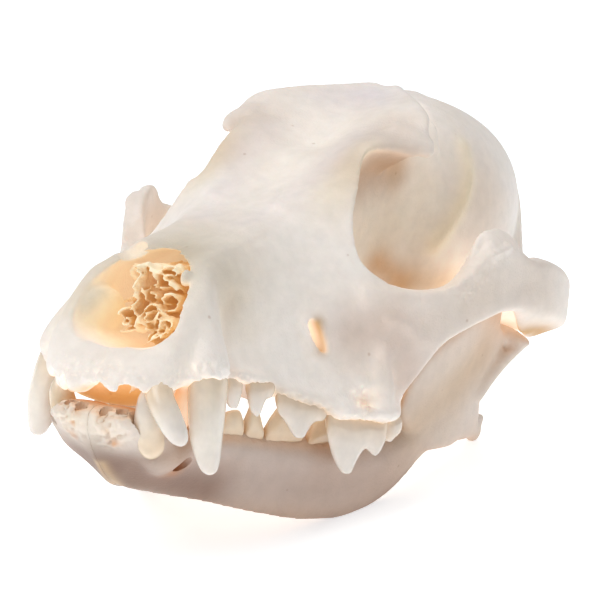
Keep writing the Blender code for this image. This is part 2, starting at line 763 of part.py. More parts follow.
def tooth_blade(name, front, back, root_depth, heights, half_width, up):
    """A cheek tooth: sections from front to back whose crown follows the given heights.

    up is +1 for a lower tooth and -1 for an upper one; heights run from front to back.
    """
    front, back = np.array(front, float), np.array(back, float)
    along = back - front
    side = np.cross(along, (0, 0, 1))
    side /= np.linalg.norm(side)
    count = len(heights)
    rings = []
    for i, height in enumerate(heights):
        t = i / (count - 1)
        round_off = math.sqrt(max(0.0, 1 - (2 * t - 1) ** 2)) * 0.75 + 0.25
        wide = half_width * round_off
        centre = front + along * t
        rings.append(
            [
                centre + side * across * wide + np.array([0, 0, up * level])
                for across, level in (
                    (-0.6, -root_depth),
                    (0.6, -root_depth),
                    (1.0, 0.3 * height),
                    (0.35, height),
                    (-0.35, height),
                    (-1.0, 0.3 * height),
                )
            ]
        )
    return loft(name, rings)


# Upper cheek teeth: front (x, y, z), back (x, y, z), root depth, half width, crown heights from front to back
UPPER_CHEEK_TEETH = (
    ((15.8, 23.4, 0.2), (16.4, 29.2, 0.0), 3.0, 2.3, (1.0, 4.2, 5.6, 3.4, 0.8)),
    ((16.6, 30.4, -0.2), (18.8, 38.4, -1.2), 3.5, 2.4, (1.2, 4.4, 6.8, 4.0, 1.0)),
    ((19.2, 39.4, -2.0), (24.0, 49.4, -4.8), 3.5, 2.7, (1.2, 4.0, 8.2, 3.6, 3.0, 1.0)),
    ((24.8, 49.0, -5.4), (31.4, 67.0, -7.4), 4.0, 3.6, (2.0, 5.6, 10.4, 6.4, 3.6, 4.8, 4.6, 1.6)),
)
UPPER_MOLARS = (
    # centre, half sizes, crown height
    ((29.2, 70.8, -6.4), (6.6, 4.9), 4.6),
    ((28.0, 78.4, -4.6), (4.6, 2.8), 3.2),
)
LOWER_CHEEK_TEETH = (
    ((10.6, 21.6, -9.4), (11.8, 26.0, -9.4), 3.0, 1.9, (0.8, 3.0, 2.4, 0.6)),
    ((12.2, 27.0, -9.6), (14.4, 35.0, -10.0), 3.5, 2.2, (1.2, 4.2, 5.0, 3.0, 1.0)),
    ((14.8, 36.4, -10.6), (17.6, 45.0, -11.2), 3.5, 2.3, (1.2, 4.4, 5.8, 3.2, 1.2)),
    ((17.4, 46.4, -11.8), (20.2, 56.2, -12.4), 3.5, 2.4, (1.4, 4.2, 5.8, 3.6, 2.6, 1.2)),
    ((20.6, 57.2, -12.6), (25.2, 77.0, -11.8), 4.0, 2.9, (2.0, 4.6, 4.8, 5.8, 3.6, 2.0, 1.8, 1.0)),
    ((26.4, 78.0, -11.0), (28.6, 85.6, -8.6), 3.0, 2.4, (1.0, 2.2, 2.0, 0.8)),
    ((29.0, 86.4, -8.2), (30.2, 90.2, -6.4), 2.5, 1.7, (0.6, 1.2, 0.6)),
)


# Root, neck and tip of the lower canines, the left one behind the front of the upper jaw
LOWER_CANINES = {
    1: ((9.4, 14.4, -18.0), (11.6, 9.6, -12.6), (8.8, 6.4, -1.4)),
    -1: ((-8.0, 14.4, -16.0), (-9.8, 11.0, -10.4), (-12.8, 8.6, 0.6)),
}


def molar(side, centre, half, crown):
    """A broad upper molar with two outer cusps and a low inner shelf."""
    x, y, z = centre
    rings = []
    for t in np.linspace(-1, 1, 5):
        reach = half[1] * (math.sqrt(max(0.0, 1 - t * t)) * 0.6 + 0.4)
        height = crown * (0.55 + 0.45 * t)
        rings.append(
            [
                (side * (x + half[0] * t), y + reach * across, z + level)
                for across, level in (
                    (-0.6, 6.0),
                    (0.6, 6.0),
                    (1.0, -0.3 * height),
                    (0.5, -height),
                    (0.0, -height * 0.7),
                    (-0.5, -height),
                    (-1.0, -0.3 * height),
                )
            ]
        )
    return loft("molar", rings)


def upper_teeth():
    items = []
    for side in (1, -1):
        for front, back, depth, half_width, heights in UPPER_CHEEK_TEETH:
            items.append(
                tooth_blade(
                    "upper tooth",
                    np.array(front) * [side, 1, 1],
                    np.array(back) * [side, 1, 1],
                    depth,
                    heights,
                    half_width,
                    -1,
                )
            )
        for centre, half, crown in UPPER_MOLARS:
            items.append(molar(side, centre, half, crown))
        # inner lobe of the carnassial
        items.append(
            tooth_cone(
                "carnassial lobe",
                (side * 25.0, 54.0, -3.0),
                (side * 23.4, 54.0, -6.2),
                (side * 22.6, 54.2, -9.6),
                (2.8, 2.8),
            )
        )
        items.append(
            tooth_cone(
                "upper canine",
                (side * 14.0, 21.0, 9.0),
                (side * 16.2, 17.2, 1.8),
                (side * 20.9, 15.0, -17.6),
                (4.1, 5.4),
                (side * 0.5, -1.2, 0),
            )
        )
    items.append(
        tooth_cone(
            "third incisor",
            (11.6, 8.6, 5.0),
            (12.6, 7.4, 0.6),
            (18.2, 7.6, -11.4),
            (2.8, 3.6),
            (0.3, -1.0, 0),
        )
    )
    return items


def lower_teeth(side):
    items = []
    for front, back, depth, half_width, heights in LOWER_CHEEK_TEETH:
        items.append(
            tooth_blade(
                "lower tooth",
                np.array(front) * [side, 1, 1],
                np.array(back) * [side, 1, 1],
                depth,
                heights,
                half_width,
                1,
            )
        )
    root, base, tip = LOWER_CANINES[side]
    items.append(tooth_cone("lower canine", root, base, tip, (3.9, 5.2), (0, 0.6, 0)))
    return items


def carve_cranium(item):
    """Strokes that press and raise the surface of the finished skin."""
    # canine fossa, hollow before the orbit and the groove over the root of the arch
    stroke(item, [(17, 28, 13), (18.5, 34, 15)], 7.0, -1.2)
    stroke(item, [(22, 46, 19), (25, 54, 21)], 6.0, -0.6)
    # root of the canine tooth and of the third incisor
    stroke(item, [(17.4, 14, 5), (16.4, 15, 13), (14.2, 19, 20)], 3.2, 1.0)
    stroke(item, [(13.4, 6, 2), (13.4, 6.6, 8)], 2.4, 0.7)
    # median groove of the nose and forehead
    stroke(item, [(0, 30, 29), (0, 60, 39), (0, 84, 50), (0, 104, 60)], 5.0, -0.5, False)


def divide(item, parts):
    """Part one skin into named nodes, each inside its own box."""
    made = []
    for name, low, high in parts:
        piece = new_object(name, item.data.copy())
        boolean(piece, [block("box", low, high)], "INTERSECT")
        keep_largest(piece)
        made.append(piece)
    discard([item])
    return made


def flatten_on_floor(item):
    """Small flats where the tipped jaw touches the floor."""
    points, _ = read_points(item)
    tip = math.radians(NOSE_UP_DEG)
    up = np.array([0, -math.sin(tip), math.cos(tip)])
    sunk = np.maximum(0, FLOOR_Z - points @ up)
    write_points(item, points + sunk[:, None] * up)


def turbinates():
    """Septum and scrolled plates inside the nose, clear of its walls."""
    items = [block("septum", (-0.8, 24, 4), (0.8, 49, 30))]
    for side in (1, -1):
        for x, front, z, size in SCROLLS:
            items.append(
                sweep(
                    "scroll",
                    [
                        (side * (x + 0.4), front, z, size * 0.7, size * 0.6),
                        (side * x, front + 3, z, size, size * 0.9),
                        (side * (x - 0.6), 38, z + 0.4, size * 1.05, size),
                        (side * (x - 1.0), 49, z + 1.0, size, size * 0.8),
                    ],
                    6,
                    10,
                )
            )
    septum = items.pop(0)
    boolean(septum, items, "UNION")
    inside = [
        (x, y, z, wide - WALL_CLEARANCE, tall - WALL_CLEARANCE) for x, y, z, wide, tall in NOSE_STATIONS[1:]
    ]
    room = sweep("room", inside, 14, 20)
    boolean(septum, [room], "INTERSECT")
    keep_largest(septum)
    return septum


# Colour and roughness of each sub-part's bone, none of it metallic
FINISHES = {
    "muzzle": ((0.85, 0.79, 0.75), 0.55),
    "braincase": ((0.84, 0.78, 0.74), 0.55),
    "zygomatic_left": ((0.80, 0.74, 0.70), 0.58),
    "zygomatic_right": ((0.80, 0.74, 0.70), 0.58),
    "mandible_left": ((0.74, 0.66, 0.60), 0.6),
    "mandible_right": ((0.74, 0.66, 0.60), 0.6),
    "turbinates": ((0.83, 0.60, 0.33), 0.65),
}
CREASE_DEG = 50.0


def finish(name, colour, roughness):
    """The bleached bone of one sub-part."""
    material = bpy.data.materials.new(name)
    material.use_nodes = True
    shader = material.node_tree.nodes["Principled BSDF"]
    shader.inputs["Base Color"].default_value = (*colour, 1)
    shader.inputs["Roughness"].default_value = roughness
    shader.inputs["Metallic"].default_value = 0.0
    return material


def main():
    for item in list(bpy.data.objects):
        bpy.data.objects.remove(item)
    skull = cranium()
    carve_cranium(skull)
    thin_out(skull, FACE_TRIANGLES + BRAIN_TRIANGLES + 2 * ARCH_TRIANGLES)
    half = NODE_GAP / 2
    nodes = divide(
        skull,
        [
            ("muzzle", (-70, -20, -30), (70, FACE_BACK_Y - half, 90)),
            ("braincase", (-ARCH_ROOT_X + half, FACE_BACK_Y + half, -30), (ARCH_ROOT_X - half, 190, 90)),
            ("zygomatic_left", (ARCH_ROOT_X + half, FACE_BACK_Y + half, -30), (70, 190, 90)),
            ("zygomatic_right", (-70, FACE_BACK_Y + half, -30), (-ARCH_ROOT_X - half, 190, 90)),
        ],
    )
    boolean(nodes[0], upper_teeth(), "UNION")
    keep_largest(nodes[0])
    for side, name in ((1, "mandible_left"), (-1, "mandible_right")):
        bone = jaw(side)
        thin_out(bone, JAW_TRIANGLES)
        boolean(bone, lower_teeth(side), "UNION")
        keep_largest(bone)
        shift_jaw(bone)
        flatten_on_floor(bone)
        bone.name = name
        nodes.append(bone)
    scrolls = turbinates()
    scrolls.name = "turbinates"
    nodes.append(scrolls)

    part = bpy.data.collections.new("dog_skull")
    bpy.context.scene.collection.children.link(part)
    stand = bpy.data.objects.new("skull_pose", None)
    part.objects.link(stand)
    stand.location = (0, -MIDDLE_Y * MM, -FLOOR_Z * MM)
    stand.rotation_euler = (math.radians(-NOSE_UP_DEG), 0, 0)
    for node in nodes:
        bpy.context.scene.collection.objects.unlink(node)
        part.objects.link(node)
        node.parent = stand
        node.data.materials.clear()
        node.data.materials.append(finish(node.name + "_bone", *FINISHES[node.name]))
        node.data.shade_smooth()
        node.data.set_sharp_from_angle(angle=math.radians(CREASE_DEG))


main()
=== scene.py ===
"""A dog skull with its lower jaw, as a still, life-size model for a museum shelf.

The skull is shaped in its own frame in millimetres: X to its left, Y backwards from the front of the
upper jaw, Z up, with the row of upper incisors at the origin. Each finished piece is then tipped nose
up and set on the table, in metres.
"""

import logging
import math
from dataclasses import dataclass, field, replace
from enum import Enum
from typing import Iterable, Iterator, Sequence

import bmesh
import bpy
import numpy as np
from mathutils import Matrix, Vector, noise


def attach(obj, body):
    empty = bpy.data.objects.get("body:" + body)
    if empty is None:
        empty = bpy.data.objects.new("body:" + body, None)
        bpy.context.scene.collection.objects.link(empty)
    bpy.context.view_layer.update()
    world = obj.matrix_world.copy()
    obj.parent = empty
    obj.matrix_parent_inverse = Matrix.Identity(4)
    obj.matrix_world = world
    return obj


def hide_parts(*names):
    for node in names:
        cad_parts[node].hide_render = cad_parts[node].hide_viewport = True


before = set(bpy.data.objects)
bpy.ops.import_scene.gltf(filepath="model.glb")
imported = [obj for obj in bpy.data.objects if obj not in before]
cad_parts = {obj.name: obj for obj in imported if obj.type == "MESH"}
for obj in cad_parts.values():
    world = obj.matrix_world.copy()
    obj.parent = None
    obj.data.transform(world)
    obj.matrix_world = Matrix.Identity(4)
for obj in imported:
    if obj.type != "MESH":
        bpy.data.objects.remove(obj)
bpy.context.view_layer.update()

LOG = logging.getLogger("dog_skull")

MM = 0.001
NOSE_UP = math.radians(13.365)
MIDDLE_Y = 89.64
FLOOR_Z = -45.1
POSE = Matrix.Translation((0.0, -MIDDLE_Y * MM, -FLOOR_Z * MM)) @ Matrix.Rotation(-NOSE_UP, 4, "X")
TINT = "stain"
ROUGH = "rough"

Place = Sequence[float]
Rows = Sequence[Sequence[float]]
Piece = bpy.types.Object
Socket = bpy.types.NodeSocket


class Side(Enum):
    """A side of the skull."""

    LEFT = 1
    RIGHT = -1

    @property
    def word(self) -> str:
        """The side's name in a piece's name."""
        return self.name.lower()


class Merge(Enum):
    """What a Boolean does with the other solids."""

    ADD = "UNION"
    CUT = "DIFFERENCE"
    KEEP = "INTERSECT"


class Line:
    """A curve through (position, value) knots that never swings past them."""

    def __init__(self, *knots: tuple[float, float]) -> None:
        """Work out the slope at each knot.

        Args:
            knots: Positions in rising order, each with its value.
        """
        self.at, self.value = np.array(knots, float).T
        self.step = np.diff(self.at)
        slope = np.diff(self.value) / self.step
        self.tangent = np.concatenate([slope[:1], np.zeros(len(slope) - 1), slope[-1:]])
        for i in range(1, len(slope)):
            if slope[i - 1] * slope[i] > 0:
                self.tangent[i] = 2 * slope[i - 1] * slope[i] / (slope[i - 1] + slope[i])

    def __call__(self, position: float) -> float:
        """The curve's value at a position, held at its ends.

        Args:
            position: Where on the curve.

        Returns:
            The value there.
        """
        i = int(np.clip(np.searchsorted(self.at, position) - 1, 0, len(self.step) - 1))
        t = float(np.clip((position - self.at[i]) / self.step[i], 0, 1))
        return float(
            self.value[i] * (1 + 2 * t) * (1 - t) ** 2
            + self.value[i + 1] * t * t * (3 - 2 * t)
            + self.step[i] * (self.tangent[i] * t * (1 - t) ** 2 - self.tangent[i + 1] * t * t * (1 - t))
        )


def rounded(corners: Rows, per_span: int = 3) -> np.ndarray:
    """A closed smooth ring through corner points.

    Args:
        corners: The points, in order round the ring.
        per_span: How many points each span gets.

    Returns:
        The ring's points, one row each.
    """
    points = np.array(corners, float)
    ring = []
    for i in range(len(points)):
        a, b, c, d = (points[(i + k - 1) % len(points)] for k in range(4))
        for t in np.arange(per_span) / per_span:
            ring.append(
                0.5 * (2 * b + (c - a) * t + (2 * a - 5 * b + 4 * c - d) * t * t + (3 * b - a - 3 * c + d) * t**3)
            )
    return np.array(ring)


def spread(rows: Rows, count: int) -> np.ndarray:
    """Rows of numbers spread evenly along a smooth curve through the given rows.

    Args:
        rows: The rows that the curve runs through.
        count: How many rows to make.

    Returns:
        The new rows.
    """
    table = np.array(rows, float)
    curves = [Line(*enumerate(column)) for column in table.T]
    return np.array([[curve(at) for curve in curves] for at in np.linspace(0, len(table) - 1, count)])


def mirrored(rows: Rows, side: Side) -> list[tuple[float, ...]]:
    """Rows of the left side, with their first number turned for the given side."""
    return [(row[0] * side.value, *row[1:]) for row in rows]


def new_piece(name: str, form: bmesh.types.BMesh) -> Piece:
    """Make an object of a form, which is then freed.

    Args:
        name: The object's name.
        form: Its form.

    Returns:
        The object, linked to the scene.
    """
    mesh = bpy.data.meshes.new(name)
    form.to_mesh(mesh)
    form.free()
    piece = bpy.data.objects.new(name, mesh)
    bpy.context.scene.collection.objects.link(piece)
    return piece


def discard(pieces: Iterable[Piece]) -> None:
    """Remove pieces that were used up.

    Args:
        pieces: The pieces.
    """
    for piece in list(pieces):
        mesh = piece.data
        bpy.data.objects.remove(piece)
        bpy.data.meshes.remove(mesh)


def loft(name: str, rings: Sequence[Rows]) -> Piece:
    """A closed skin drawn out from its first ring through the others.

    Args:
        name: The piece's name.
        rings: Rings of equally many points, in millimetres.

    Returns:
        The new piece.
    """
    form = bmesh.new()
    cap = form.faces.new([form.verts.new(Vector(place) * MM) for place in rings[0]])
    for i, ring in enumerate(rings[1:]):
        grown = bmesh.ops.extrude_face_region(form, geom=[cap])["geom"]
        if i:
            form.faces.remove(cap)
        cap = next(item for item in grown if isinstance(item, bmesh.types.BMFace))
        for vert, place in zip(cap.verts, ring):
            vert.co = Vector(place) * MM
    bmesh.ops.recalc_face_normals(form, faces=form.faces)
    return new_piece(name, form)


def sweep(name: str, rows: Rows, count: int, sides: int = 14, across: Place = (1, 0, 0)) -> Piece:
    """An oval rod along rows of x, y, z and the half size each way.

    Args:
        name: The piece's name.
        rows: Stations of the rod, in millimetres.
        count: How many rings it gets.
        sides: How many points each ring gets.
        across: The direction of the first half size.

    Returns:
        The new piece.
    """
    stations = spread(rows, count)
    centre = stations[:, :3]
    rings = []
    for i, station in enumerate(stations):
        along = centre[min(i + 1, count - 1)] - centre[max(i - 1, 0)]
        along /= np.linalg.norm(along)
        one = np.array(across, float)
        one -= along * one.dot(along)
        one /= np.linalg.norm(one)
        other = np.cross(along, one)
        turns = np.arange(sides) * 2 * math.pi / sides
        rings.append([station[:3] + one * station[3] * math.cos(a) + other * station[4] * math.sin(a) for a in turns])
    return loft(name, rings)


@dataclass(frozen=True)
class Rod:
    """An oval rod on the left side or in the middle, and its mirror on the right where it is paired.

    Args:
        name: The solid's name.
        rows: x, y, z and the half size each way of its stations, in millimetres.
        count: How many rings it gets.
        sides: How many points each ring gets.
        across: The direction of the first half size.
        paired: True if it is repeated on the right side.
    """

    name: str
    rows: Rows
    count: int
    sides: int = 14
    across: Place = (1, 0, 0)
    paired: bool = True

    def on(self, side: Side) -> Piece:
        """The rod on one side."""
        return sweep(self.name, mirrored(self.rows, side), self.count, self.sides, self.across)


@dataclass(frozen=True)
class Oval:
    """An ellipsoid on the left side or in the middle, and its mirror on the right where it is paired.

    Args:
        name: The solid's name.
        centre: Its middle, in millimetres.
        radii: Its half sizes, in millimetres.
        tilt: Its turn about X, Y and Z, in degrees.
        paired: True if it is repeated on the right side.
        fineness: How often the first shape is divided.
    """

    name: str
    centre: Place
    radii: Place
    tilt: Place = (0, 0, 0)
    paired: bool = True
    fineness: int = 4

    def on(self, side: Side) -> Piece:
        """The ellipsoid on one side.

        Args:
            side: The side.

        Returns:
            The new piece.
        """
        form = bmesh.new()
        turn = Matrix.Identity(4)
        for axis, angle, flip in zip("XYZ", self.tilt, (1, side.value, side.value)):
            turn = Matrix.Rotation(math.radians(angle * flip), 4, axis) @ turn
        size = Matrix.Diagonal((*(radius * MM for radius in self.radii), 1))
        centre = Vector((self.centre[0] * side.value, *self.centre[1:])) * MM
        matrix = Matrix.Translation(centre) @ turn @ size
        bmesh.ops.create_icosphere(form, subdivisions=self.fineness, radius=1, matrix=matrix)
        return new_piece(self.name, form)


def cast(parts: Sequence[Rod | Oval]) -> list[Piece]:
    """The solids of the parts, each on the left and then, where it is paired, on the right."""
    return [part.on(side) for part in parts for side in (Side if part.paired else (Side.LEFT,))]


def block(name: str, low: Place, high: Place) -> Piece:
    """A box between two corners, in millimetres.

    Args:
        name: The piece's name.
        low: Its lowest corner.
        high: Its highest corner.

    Returns:
        The new piece.
    """
    form = bmesh.new()
    centre = (Vector(low) + Vector(high)) / 2 * MM
    size = (Vector(high) - Vector(low)) * MM
    bmesh.ops.create_cube(form, size=1, matrix=Matrix.Translation(centre) @ Matrix.Diagonal((*size, 1)))
    return new_piece(name, form)


def settle(piece: Piece) -> None:
    """Keep the shape that the piece's modifiers give it.

    Args:
        piece: The piece.
    """
    evaluated = piece.evaluated_get(bpy.context.evaluated_depsgraph_get())
    mesh = bpy.data.meshes.new_from_object(evaluated)
    piece.modifiers.clear()
    old = piece.data
    piece.data = mesh
    bpy.data.meshes.remove(old)


def gather(name: str, pieces: Sequence[Piece]) -> Piece:
    """One object that holds all the given pieces' shapes.

    Args:
        name: The new object's name.
        pieces: The pieces, which are then gone.

    Returns:
        The new object.
    """
    form = bmesh.new()
    for piece in pieces:
        form.from_mesh(piece.data)
    discard(pieces)
    return new_piece(name, form)


def fuse(piece: Piece, voxel: float, passes: int) -> None:
    """Fuse overlapping solids into one skin and soften its creases.

    Args:
        piece: The piece.
        voxel: The new skin's fineness in millimetres.
        passes: How often it is smoothed.
    """
    grid = piece.modifiers.new("Fuse", "REMESH")
    grid.mode = "VOXEL"
    grid.voxel_size = voxel * MM
    soften = piece.modifiers.new("Soften", "SMOOTH")
    soften.factor = 0.5
    soften.iterations = passes
    settle(piece)


def merge(piece: Piece, others: Sequence[Piece], how: Merge) -> None:
    """Add, cut or keep with closed solids, which are then gone.

    Args:
        piece: The piece that stays.
        others: The other solids.
        how: What to do with them.
    """
    group = bpy.data.collections.new("operands")
    for other in others:
        group.objects.link(other)
        bpy.context.scene.collection.objects.unlink(other)
    bpy.context.scene.collection.children.link(group)
    step = piece.modifiers.new("Boolean", "BOOLEAN")
    step.operation = how.value
    step.solver = "MANIFOLD"
    step.operand_type = "COLLECTION"
    step.collection = group
    settle(piece)
    discard(others)
    bpy.data.collections.remove(group)


def thin(piece: Piece, triangles: int) -> None:
    """Leave about the given number of triangles, more of them where the bone bends.

    Args:
        piece: The piece.
        triangles: How many triangles to leave.
    """
    now = sum(len(polygon.vertices) - 2 for polygon in piece.data.polygons)
    if now > triangles:
        step = piece.modifiers.new("Thin out", "DECIMATE")
        step.ratio = triangles / now
        step.use_collapse_triangulate = True
        settle(piece)


def keep_largest(piece: Piece) -> None:
    """Keep only the largest closed surface.

    Args:
        piece: The piece.
    """
    form = bmesh.new()
    form.from_mesh(piece.data)
    unseen = set(form.verts)
    islands = []
    while unseen:
        heap = [unseen.pop()]
        island = set(heap)
        while heap:
            for edge in heap.pop().link_edges:
                for vert in edge.verts:
                    if vert in unseen:
                        unseen.discard(vert)
                        island.add(vert)
                        heap.append(vert)
        islands.append(island)
    islands.sort(key=len)
    loose = [vert for island in islands[:-1] for vert in island]
    bmesh.ops.delete(form, geom=loose, context="VERTS")
    form.to_mesh(piece.data)
    form.free()


def read_points(piece: Piece) -> tuple[np.ndarray, np.ndarray]:
    """The points of a piece in millimetres, and their normals.

    Args:
        piece: The piece.

    Returns:
        The points and the normals, one row each.
    """
    mesh = piece.data
    points = np.empty(len(mesh.vertices) * 3, np.float32)
    mesh.vertices.foreach_get("co", points)
    normals = np.empty(len(mesh.vertices) * 3, np.float32)
    mesh.vertex_normals.foreach_get("vector", normals)
    return points.reshape(-1, 3).astype(float) / MM, normals.reshape(-1, 3).astype(float)


def write_points(piece: Piece, points: np.ndarray) -> None:
    """Move the points of a piece, given in millimetres."""
    piece.data.vertices.foreach_set("co", (points * MM).astype(np.float32).ravel())
    piece.data.update()


def distance(points: np.ndarray, path: Rows) -> np.ndarray:
    """Distance of each point from a line of straight runs, or from its one point.

    Args:
        points: The points, one row each.
        path: The corners of the line.

    Returns:
        The distances.
    """
    line = np.array(path, float)
    nearest = np.full(len(points), np.inf)
    for start, end in zip(line, line[1:] if len(line) > 1 else line):
        run = end - start
        t = np.clip((points - start) @ run / max(run.dot(run), 1e-9), 0, 1)
        nearest = np.minimum(nearest, np.linalg.norm(points - start - t[:, None] * run, axis=1))
    return nearest


def reaches(points: np.ndarray, path: Rows, paired: bool) -> Iterator[np.ndarray]:
    """Distances of the points from a path, and then from its mirror on the right where it is paired."""
    for turn in (1, -1) if paired else (1,):
        yield distance(points, np.array(path) * [turn, 1, 1])


@dataclass(frozen=True)
class Stroke:
    """A pass of the modelling tool along a path, which raises or presses the bone.

    Args:
        path: The path in millimetres, on the left side.
        width: How far from the path it works, in millimetres.
        height: How far it raises the bone, in millimetres, or presses it where negative.
        paired: True if it is repeated on the right side.
    """

    path: Rows
    width: float
    height: float
    paired: bool = True

    def apply(self, points: np.ndarray, normals: np.ndarray) -> np.ndarray:
        """The points after this stroke.

        Args:
            points: The points, in millimetres.
            normals: Their normals.

        Returns:
            The moved points.
        """
        moved = points.copy()
        for reach in reaches(points, self.path, self.paired):
            moved += normals * (self.height * np.exp(-((reach / self.width) ** 2)))[:, None]
        return moved


@dataclass(frozen=True)
class Grain:
    """A patch of rough, porous bone.

    Args:
        path: Its middle line in millimetres, on the left side.
        width: How far it spreads from that line.
        size: The size of its lumps and pores.
        depth: How deep they are.
        paired: True if it is repeated on the right side.
        least: The roughness under which the bone stays smooth.
        pore: The share of a cell that a pore takes up.
    """

    path: Rows
    width: float
    size: float
    depth: float
    paired: bool = False
    least: float = 0.02
    pore: float = 0.42

    def strength(self, points: np.ndarray) -> np.ndarray:
        """How rough the bone is at each point, from 0 to 1.

        Args:
            points: The points, in millimetres.

        Returns:
            The roughness at each.
        """
        total = np.zeros(len(points))
        for reach in reaches(points, self.path, self.paired):
            total = np.maximum(total, np.exp(-((reach / self.width) ** 4)))
        return total

    def apply(self, points: np.ndarray, normals: np.ndarray) -> np.ndarray:
        """The points after the patch is roughened.

        Args:
            points: The points, in millimetres.
            normals: Their normals.

        Returns:
            The moved points.
        """
        force = self.strength(points)
        moved = points.copy()
        for i in np.nonzero(force > self.least)[0]:
            place = Vector(points[i]) / self.size
            lump = noise.noise(place)
            hole = max(0.0, 1 - noise.voronoi(place)[0][0] / self.pore)
            moved[i] += normals[i] * self.depth * force[i] * (0.8 * lump - 0.9 * hole)
        return moved


@dataclass(frozen=True)
class Stain:
    """A soft patch of colour on the bone, used for real stains and for painted shade and light.

    Args:
        path: Its middle line in millimetres, on the left side.
        width: How far it spreads.
        colour: Its sRGB hex colour.
        strength: How strongly it covers, from 0 to 1.
        paired: True if it is repeated on the right side.
    """

    path: Rows
    width: float
    colour: str
    strength: float
    paired: bool = False

    def cover(self, points: np.ndarray, colours: np.ndarray) -> np.ndarray:
        """The colours of the points after this patch of colour.

        Args:
            points: The points, in millimetres.
            colours: Their linear colours.

        Returns:
            The new colours.
        """
        for reach in reaches(points, self.path, self.paired):
            share = (self.strength * np.exp(-((reach / self.width) ** 2)))[:, None]
            colours = colours * (1 - share) + np.array(linear(self.colour)) * share
        return colours


def linear(colour: str) -> tuple[float, float, float]:
    """Turn a sRGB hex colour to linear red, green and blue."""
    parts = [int(colour.lstrip("#")[i : i + 2], 16) / 255 for i in (0, 2, 4)]
    return tuple(part / 12.92 if part <= 0.04045 else ((part + 0.055) / 1.055) ** 2.4 for part in parts)


def carve(piece: Piece, strokes: Sequence[Stroke | Grain]) -> None:
    """Work a piece with strokes and rough patches, one after the other.

    Args:
        piece: The piece.
        strokes: The strokes and patches, in order.
    """
    for stroke in strokes:
        points, normals = read_points(piece)
        write_points(piece, stroke.apply(points, normals))


def colour(piece: Piece, ground: str, stains_and_shade: Sequence[Stain], work: Sequence[Stroke | Grain] = ()) -> None:
    """Give each point of a piece its colour and its roughness of surface.

    Args:
        piece: The piece, still in the skull's own frame.
        ground: The sRGB hex colour under the stains and painted shade.
        stains_and_shade: The stains and painted shade and light, one over the other.
        work: The tool work on the piece, whose rough patches count.
    """
    points, _ = read_points(piece)
    colours = np.tile(np.array(linear(ground)), (len(points), 1))
    for stain in stains_and_shade:
        colours = stain.cover(points, colours)
    rough = np.zeros(len(points))
    for patch in work:
        if isinstance(patch, Grain):
            rough = np.maximum(rough, patch.strength(points))
    tint = piece.data.attributes.new(TINT, "FLOAT_COLOR", "POINT")
    tint.data.foreach_set("color", np.column_stack([colours, np.ones(len(points))]).astype(np.float32).ravel())
    texture = piece.data.attributes.new(ROUGH, "FLOAT", "POINT")
    texture.data.foreach_set("value", rough.astype(np.float32))


def add_node(
    tree: bpy.types.NodeTree,
    kind: str,
    settings: dict[str, object] | None = None,
    values: dict[str | int, object] | None = None,
    links: dict[str | int, Socket] | None = None,
) -> bpy.types.Node:
    """Add a shader node.

    Args:
        tree: The node tree it goes in.
        kind: The node's type.
        settings: Its own options, by name.
        values: Constants for its input sockets.
        links: Output sockets that feed its inputs.

    Returns:
        The new node.
    """
    node = tree.nodes.new(kind)
    for name, value in (settings or {}).items():
        setattr(node, name, value)
    for name, value in (values or {}).items():
        node.inputs[name].default_value = value
    for name, socket in (links or {}).items():
        tree.links.new(socket, node.inputs[name])
    return node


